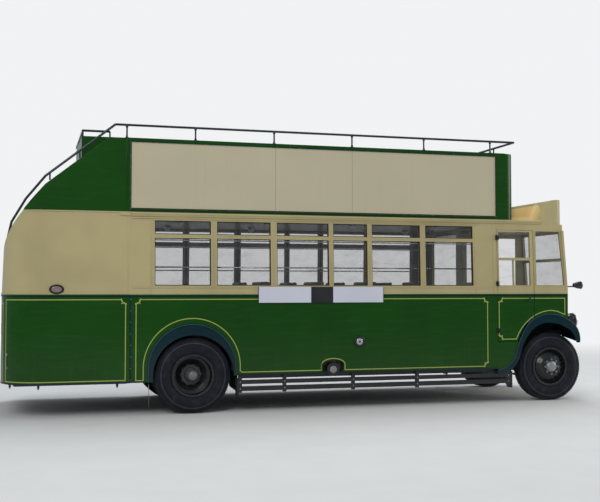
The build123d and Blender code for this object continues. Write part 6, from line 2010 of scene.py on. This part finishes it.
@dataclass
class FrontEnd(Assembly):
    """Radiator fins and cap, starting handle, lamp rims, blank plates, cab beads, filler caps and wing flaps.

    Args:
        lamp: Station, Y and Z of a headlamp's middle.
        sidelamp: The same for the side lamp.
        oval: Station, height, half length and half height of the oval lamp.
        apron_y: Y of the flap's inner face.
        hinge_z: Heights of the cab door's hinges.
        screen: Station and height of the windscreen's foot, and its station's change for each metre up.
    """

    radiator_x: float = 5.300
    lamp: Point = (5.464, 0.80, 1.087)
    sidelamp: Point = (5.446, -1.075, 1.600)
    oval: tuple = (-1.661, 1.544, 0.074, 0.046)
    apron_y: float = 0.6545
    hinge_z: tuple = (0.980, 1.620, 2.250)
    screen: Point = (5.256, 1.532, -0.059 / (2.359 - 1.532))

    def build(self) -> None:
        """Makes the front's fittings."""
        self._radiator()
        self._lamps()
        self._oval()
        self._plate()
        self._cab_trim()
        self._door_trim()
        self._fillers()
        self._flaps()

    def _flaps(self) -> None:
        """Hangs rubber under each wing's apron, clear of the turned tyre, and ahead of each rear wheel; the
        dark sheets under the wings also stand in for the shade inside them.
        """
        work = Maker("wing_flaps_and_shade_sheets")
        wavy = [(4.60 + k * 0.05, 0.862 + 0.006 * math.sin(k * 1.9)) for k in range(16)]
        wavy += [(5.40, 0.868), (5.44, 0.885), (5.435, 0.930), (5.40, 0.985), (5.35, 1.030), (5.30, 1.030),
                 (5.30, 0.968), (4.60, 0.968)]
        board = [(0.60, 0.60), (0.60, 0.280), (0.80, 0.268), (1.088, 0.255), (1.088, 0.60)]
        for side in Side:
            sign = side.value
            # Painted shade: these dark sheets close the gaps inside the wings, where there is shade, and
            # partly stand for rubber aprons.
            work.plate(wavy, lambda u, v, w: (station(u), sign * (self.apron_y + w), v), 0.0045, SEAL)
            work.plate(board, lambda u, v, w: (station(0.556) + w, sign * u, v), 0.006, SEAL)
        work.done()

    def _radiator(self) -> None:
        """Adds the bright surround, the screw cap, the starting handle and the fins."""
        x = station(self.radiator_x)
        work = Maker("radiator_trim")
        work.ribbon(rounded(-0.273, 0.273, 0.722, 1.273, 0.03, 4), lambda u, v, w: (x + w, u, v), 0.016, 0.005,
                    CHROME, loop=True)
        cap = [(0.0, 0.034), (0.012, 0.040), (0.020, 0.040), (0.026, 0.030), (0.032, 0.012), (0.034, 0.0)]
        work.lathe(cap, (x - 0.065, 0.0, 1.494), UP, CHROME, 24)
        for z in (0.80, 1.18):
            work.ribbon([(-0.262, z), (0.262, z)], lambda u, v, w: (x - 0.024 + w, u, v), 0.012, 0.004, STEEL)
        work.done(bevel=0.001)
        handle = Maker("starting_handle")
        bar = ((-0.02, 0.61), (0.12, 0.61), (0.135, 0.60), (0.14, 0.50), (0.15, 0.485), (0.215, 0.485))
        handle.tube([(x + along, 0.0, z) for along, z in bar], 0.011, CHASSIS_BLACK)
        handle.tube([(x + 0.155, 0.0, 0.485), (x + 0.213, 0.0, 0.485)], 0.016, VARNISHED)
        handle.done()
        fins = [[(x - 0.028, -0.2535 + 0.013 * k, z) for z in (0.735, 1.262)] for k in range(40)]
        path_piece("radiator_fins", fins, 0.003, 0.010, STEEL)

    def _lamps(self) -> None:
        """Adds bright rims on the headlamps and the side lamp."""
        rims = Maker("lamp_rims")
        x, y, z = self.lamp
        for side in Side:
            rims.lathe([(0.060, 0.1145), (0.066, 0.1165), (0.076, 0.1165), (0.0795, 0.112), (0.0795, 0.104),
                        (0.072, 0.1005), (0.060, 0.1005)], (station(x), side.value * y, z), AHEAD, CHROME, 40,
                       hollow=True)
        x, y, z = self.sidelamp
        rims.lathe([(0.046, 0.0525), (0.048, 0.0550), (0.054, 0.0550), (0.058, 0.0515), (0.050, 0.049)],
                   (station(x), y, z), AHEAD, CHROME, 28, hollow=True)
        rims.done()

    def _oval(self) -> None:
        """Dresses the oval side lamp: dark ring and a dull rosy glass."""
        ring, glass = Maker("oval_lamp_ring"), Maker("oval_lamp_glass")
        x, z, long, tall = self.oval

        def place(u: float, v: float, w: float) -> Point:
            """Gives a place over the rear panel."""
            return station(u), -(HALF_WIDTH + 0.008 + w), v
        ring.ribbon([(x + long * u, z + tall * v) for u, v in circle(40)], place, 0.020, 0.005, LAMP_ENAMEL,
                    loop=True)
        steps = ((0.88, 0.001), (0.80, 0.0035), (0.55, 0.0055), (0.2, 0.0065))
        glass.loft([[place(x + long * share * u, z + tall * share * v, out) for u, v in circle(40)]
                    for share, out in steps], ROSE_GLASS)
        ring.done(bevel=0.0015)
        glass.done()

    def _plate(self) -> None:
        """Adds a blank number plate below the radiator and one on the rear wall."""
        work = Maker("blank_plates")
        x = station(self.radiator_x)
        work.box((x + 0.002, -0.24, 0.655), (x + 0.008, 0.24, 0.712), SIGN_BLACK, 0.002)
        rear = station(CORNER_X - CORNER_R)
        work.box((rear - 0.0068, -0.42, 0.98), (rear + 0.001, -0.12, 1.12), SIGN_BLACK, 0.002)
        work.done()

    def _cab_trim(self) -> None:
        """Adds the beads of the windscreen and of the quarter window."""
        work = Maker("windscreen_trim")
        foot_x, foot_z, rake = self.screen

        def screen(u: float, v: float, w: float) -> Point:
            """Gives a place on the raked windscreen."""
            return station(foot_x + rake * (v - foot_z)) + w, u, v
        for z0, z1 in ((1.600, 1.935), (1.975, 2.320)):
            outline = rounded(-1.075, -0.025, z0 - 0.005, z1 + 0.005, 0.014, 3)
            work.ribbon(outline, screen, 0.012, 0.004, CREAM_COACH, loop=True)
        quarter = [(4.766, 1.595), (5.212, 1.595), (5.1455, 2.351), (4.766, 2.351)]
        work.ribbon(quarter, OFFSIDE, 0.012, 0.004, CREAM_COACH, loop=True)
        work.ribbon([(4.744, WAIST_Z + 0.006), (4.744, 2.352)], OFFSIDE, 0.010, 0.005, CREAM_COACH)
        work.done(bevel=0.001)

    def _door_trim(self) -> None:
        """Adds the door's beads and handle, and the hinges' black leaves and barrels."""
        door = Maker("door_trim", "cab_door")
        leaves = Maker("hinge_leaves")
        for z in self.hinge_z:
            near = 0.002 - side_y(z)
            for work, rear, front in ((leaves, 4.1555, 4.1692), (door, 4.1832, 4.1966)):
                work.box((station(rear), -1.1464, z - 0.0308), (station(front), near, z + 0.0308), LAMP_ENAMEL)
            door.lathe([(-0.0335, 0.0060), (-0.032, 0.00615), (0.032, 0.00615), (0.0335, 0.0060)],
                       (station(4.176), -1.142, z), UP, LAMP_ENAMEL, 16)
        leaves.done()
        for z0, z1 in ((1.597, 1.939), (1.975, 2.331)):
            outline = rounded(4.197, 4.686, z0 - 0.006, z1 + 0.006, 0.012, 3)
            door.ribbon(outline, OFFSIDE, 0.012, 0.003, CREAM_COACH, loop=True)
        door.ribbon([(4.182, 0.846), (4.43, 0.846)], OFFSIDE, 0.009, 0.003, GREEN_COACH)
        knob = [(0.0, 0.024), (0.004, 0.023), (0.007, 0.012)]
        door.lathe(knob, OFFSIDE(4.667, 1.40, 0.0), OUTWARD, IRON_BLACK, 20)
        door.done(bevel=0.0008)

    def _fillers(self) -> None:
        """Dresses the filler caps: a bright lid in a black ring, and below it a dull one in a wide ring, with
        a black plate behind the lower one.
        """
        work = Maker("filler_trim")
        high, low = (station(2.174), -HALF_WIDTH, 0.863), (station(1.817), -HALF_WIDTH, 0.507)
        for centre, sides, finish, profile in (
                (high, 40, IRON_BLACK, [(0.0, 0.072), (0.0150, 0.072), (0.0185, 0.064), (0.0165, 0.0445)]),
                (high, 40, CHROME, [(0.0160, 0.044), (0.0188, 0.042), (0.0196, 0.028), (0.0175, 0.015)]),
                (high, 24, IRON_BLACK, [(0.0170, 0.015), (0.0200, 0.012), (0.0205, 0.0)]),
                (low, 40, IRON_BLACK, [(-0.02, 0.084), (0.001, 0.084), (0.005, 0.078), (0.0045, 0.047)]),
                (low, 40, STEEL, [(0.003, 0.047), (0.006, 0.044), (0.0072, 0.024), (0.0075, 0.0)])):
            work.lathe(profile, centre, OUTWARD, finish, sides)
        # A bracket plate behind the lower filler; its black also stands in for the shade in the recess there.
        back = -HALF_WIDTH + 0.092
        work.box((station(1.660), back, 0.464), (station(1.898), back + 0.004, 0.650), IRON_BLACK, 0.002)
        work.done()


# Saloon interior and lifeguards

@dataclass
class Interior(Assembly):
    """Window rails, ceiling lamps, gangway strips, and the lifeguards' bolts and top boards.

    Args:
        bolt_x: Stations of the lifeguards' hangers.
        bolt_z: Heights of their slats.
    """

    rail_z: float = 1.82
    rail_x: Flat = (-0.52, 3.90)
    bolt_x: tuple = (0.595, 1.175, 2.1, 3.0, 4.34)
    bolt_z: Flat = (0.291, 0.374)

    def build(self) -> None:
        """Makes the interior's fittings and the lifeguards'."""
        rails, lamps = Maker("window_rails"), Maker("ceiling_lamps")
        x0, x1 = self.rail_x
        for side in Side:
            place = on_side(side, -WALL)
            rails.tube([place(x, self.rail_z, -0.035) for x in self.rail_x], 0.009, CHROME)
            for k in range(7):
                x = x0 + (x1 - x0) * k / 6
                rails.tube([place(x, self.rail_z, out) for out in (-0.035, -0.002)], 0.007, CHROME, sides=8)
            rails.box(place(-0.70, 2.150, -0.010), place(4.08, 2.166, -0.020), CEILING_PALE, 0.003)
            for k in range(4):
                centre = (station(-0.1 + k * 1.2), side.value * 0.52, 2.428)
                lamps.lathe([(0.0, 0.058), (0.012, 0.058), (0.016, 0.050)], centre, DOWN, CHROME, 28)
                bowl = [(0.014, 0.048), (0.030, 0.045), (0.050, 0.030), (0.058, 0.012), (0.060, 0.0)]
                lamps.lathe(bowl, centre, DOWN, OPAL, 28)
        rails.done()
        lamps.done()
        strips = [[(station(x), -0.15 + 0.05 * k, 0.7135) for x in (-0.70, 4.10)] for k in range(7)]
        path_piece("gangway_strips", strips, 0.026, 0.007, FLOOR_BOARDS)
        bolts = [((station(x), side.value * 1.109, z), (0, side.value, 0))
                 for side in Side for x in self.bolt_x for z in self.bolt_z]
        fasteners("lifeguard_bolts", bolts, 0.010, 0.006, STEEL, Fastener.HEX)
        boards = Maker("guard_top_boards")
        for side in Side:
            place = on_side(side, -0.0675)
            boards.box(place(0.582, 0.416, 0.0), place(4.373, 0.4610, -0.014), CHASSIS_BLACK, 0.003)
        boards.done()


# Studio

@dataclass
class Studio:
    """The camera, the soft lights, the pale floor and the pale surroundings.

    Args:
        eye: Camera's place.
        turn: Degrees that the view turns from +Y towards +X.
        pitch: Degrees that the view looks up.
        roll: Degrees that the view leans.
        lens: Focal length in millimetres on a 36 mm sensor.
        fill: Strength of the light from all round.
        backdrop: Colour of the surroundings that the camera sees.
        backdrop_light: Its strength.
        clear_floor: Distances between which the floor fades into the surroundings.
        lamps: Name, place, size, power and colour of each light.
    """

    eye: Point = (-3.627, -12.946, 1.550)
    turn: float = 15.94
    pitch: float = 2.262
    roll: float = -0.013
    lens: float = 57.36
    floor_size: float = 120.0
    fill: float = 0.5
    backdrop: Point = (0.93, 0.94, 0.95, 1.0)
    backdrop_light: float = 0.95
    clear_floor: Flat = (6.0, 17.0)
    lamps: tuple = (
        ("key_light", (-9.0, -14.0, 12.0), 9.0, 1150.0, (1.0, 0.98, 0.95)),
        ("top_light", (2.0, 3.0, 13.0), 10.0, 1100.0, (0.95, 0.97, 1.0)),
        ("front_light", (13.0, -3.0, 6.0), 7.0, 480.0, (1.0, 0.97, 0.9)),
    )

    def build(self) -> None:
        """Sets up the whole studio."""
        bpy.context.scene.view_settings.view_transform = "Standard"
        self._camera()
        self._world()
        for lamp in self.lamps:
            self._lamp(*lamp)
        self._floor()

    def _camera(self) -> None:
        """Places the camera at the photograph's viewpoint."""
        data = bpy.data.cameras.new("camera")
        data.lens = self.lens
        data.sensor_width = 36.0
        camera = linked("camera", data)
        camera.location = self.eye
        look = Matrix.Identity(4)
        for degrees, axis in ((-self.turn, "Z"), (90 + self.pitch, "X"), (self.roll, "Z")):
            look = look @ Matrix.Rotation(math.radians(degrees), 4, axis)
        camera.rotation_euler = look.to_euler()
        bpy.context.scene.camera = camera

    def _world(self) -> None:
        """Lights the scene softly and shows a pale background to the camera and to gloss."""
        world = bpy.data.worlds.new("surroundings")
        world.use_nodes = True
        tree = world.node_tree
        tree.nodes.clear()
        rays = add_node(tree, "ShaderNodeLightPath").outputs
        seen = add_node(tree, "ShaderNodeMath", {"operation": "MAXIMUM"},
                        {0: rays["Is Camera Ray"], 1: rays["Is Transmission Ray"]})
        ambient = add_node(tree, "ShaderNodeBackground", inputs={0: (0.86, 0.93, 1.0, 1.0), 1: self.fill})
        pale = add_node(tree, "ShaderNodeBackground", inputs={0: self.backdrop, 1: self.backdrop_light})
        mixed = add_node(tree, "ShaderNodeMixShader", inputs={0: seen, 1: ambient, 2: pale})
        add_node(tree, "ShaderNodeOutputWorld", inputs={0: mixed})
        bpy.context.scene.world = world

    def _lamp(self, name: str, place: Point, size: float, power: float, colour: Colour) -> None:
        """Adds one large soft light that faces the bus.

        Args:
            name: The light's name.
            place: Its place.
            size: Its diameter.
            power: Its power in watts.
            colour: Its colour.
        """
        data = bpy.data.lights.new(name, "AREA")
        data.shape = "DISK"
        data.size = size
        data.energy = power
        data.color = colour
        lamp = linked(name, data)
        lamp.location = place
        lamp.rotation_euler = (Vector((0, 0, 1.5)) - Vector(place)).to_track_quat("-Z", "Y").to_euler()

    def _floor(self) -> None:
        """Lays a plain pale floor that keeps the bus's shadow and fades into the surroundings."""
        half = self.floor_size / 2
        data = bpy.data.meshes.new("floor")
        corners = [(-half, -half, 0), (half, -half, 0), (half, half, 0), (-half, half, 0)]
        data.from_pydata(corners, [], [(0, 1, 2, 3)])
        mix = Recipe("pale_floor")
        shade = mix.coats((0.60, 0.60, 0.59), (mix.grain(2.0, 3.0), (0.66, 0.66, 0.65)))
        x, y, _ = mix.axes()
        away = (x * x + y * y).root().ease(*self.clear_floor)
        seen = mix.node("ShaderNodeLightPath", output="Is Camera Ray")
        near = mix.node("ShaderNodeBsdfDiffuse", inputs={"Color": shade})
        far = mix.node("ShaderNodeEmission", inputs={"Color": self.backdrop, "Strength": self.backdrop_light})
        fading = mix.node("ShaderNodeMixShader", inputs={0: away * seen, 1: near, 2: far})
        data.materials.append(mix.output(fading))
        linked("floor", data)


# Carried-over CAD nodes

NODES_BY_FINISH: dict[Finish, str] = {
    GREEN_COACH: "bonnet_fixed bonnet_lid stair_panel upper_front upper_rear upper_sides",
    GREEN_SIDE: "rear_panel_lower side_panel_left side_panel_right",
    WAIST_COACH: "bulkheads cab_door cab_front cab_side_walls",
    CREAM_COACH: "cab_roof cornices rear_panel_upper",
    CREAM_HOOD: "front_hood",
    CREAM_WINDOWS: "window_wall_left window_wall_right",
    DARK_GLOSS: "arch_lips wings",
    CHASSIS_BLACK: "chassis_frame front_axle fuel_tank knuckle_left knuckle_right leaf_springs lifeguards "
                   "rear_axle track_rod wheel_boxes",
    IRON_BLACK: "filler_caps",
    LAMP_ENAMEL: "steering_wheel",
    RAIL_ENAMEL: "hand_rails",
    WHEEL_ENAMEL: "front_wheel_left front_wheel_right rear_wheels_left rear_wheels_right",
    RUBBER: "front_tyre_left front_tyre_right rear_tyres_left rear_tyres_right",
    CAST: "engine gearbox_and_shaft",
    ALUMINIUM: "radiator",
    LAMP_SHELLS: "lamps",
    WINDOW_GLASS: "cab_glass door_glass saloon_glass",
    FLOOR_BOARDS: "cab_floor rear_platform saloon_floor staircase",
    DECK_BOARDS: "upper_floor",
    CEILING_WOOD: "ceiling",
    DECK_SEAT: "upper_seats",
    CLOTH: "lower_seats",
    LEATHER: "driver_seat",
    BOARD_CREAM: "advert_boards",
    SLIP_BOARDS: "route_boards",
}


def dress_nodes(nodes: dict[str, bpy.types.Object]) -> None:
    """Gives each CAD node the material of its finish."""
    wears = {name: finish for finish, names in NODES_BY_FINISH.items() for name in names.split()}
    for name, node in nodes.items():
        finish = wears[name]
        node.data.materials.clear()
        node.data.materials.append(finish.material())
        LOG.info("%s wears %s", name, finish.name)


ASSEMBLIES = (CoachLining, Mouldings, Windows, Tyres, Hubs, SaloonSeats, DriverSeat, Boards, DeckFittings,
              RearFittings, FrontEnd, Interior)


def main() -> None:
    """Builds the bus's looks around its frame."""
    logging.basicConfig(level=logging.INFO, format="%(name)s: %(message)s")
    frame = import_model()
    Studio().build()
    dress_nodes(frame["nodes"])
    for assembly in ASSEMBLIES:
        assembly().build()
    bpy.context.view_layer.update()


if __name__ == "__main__":
    main()
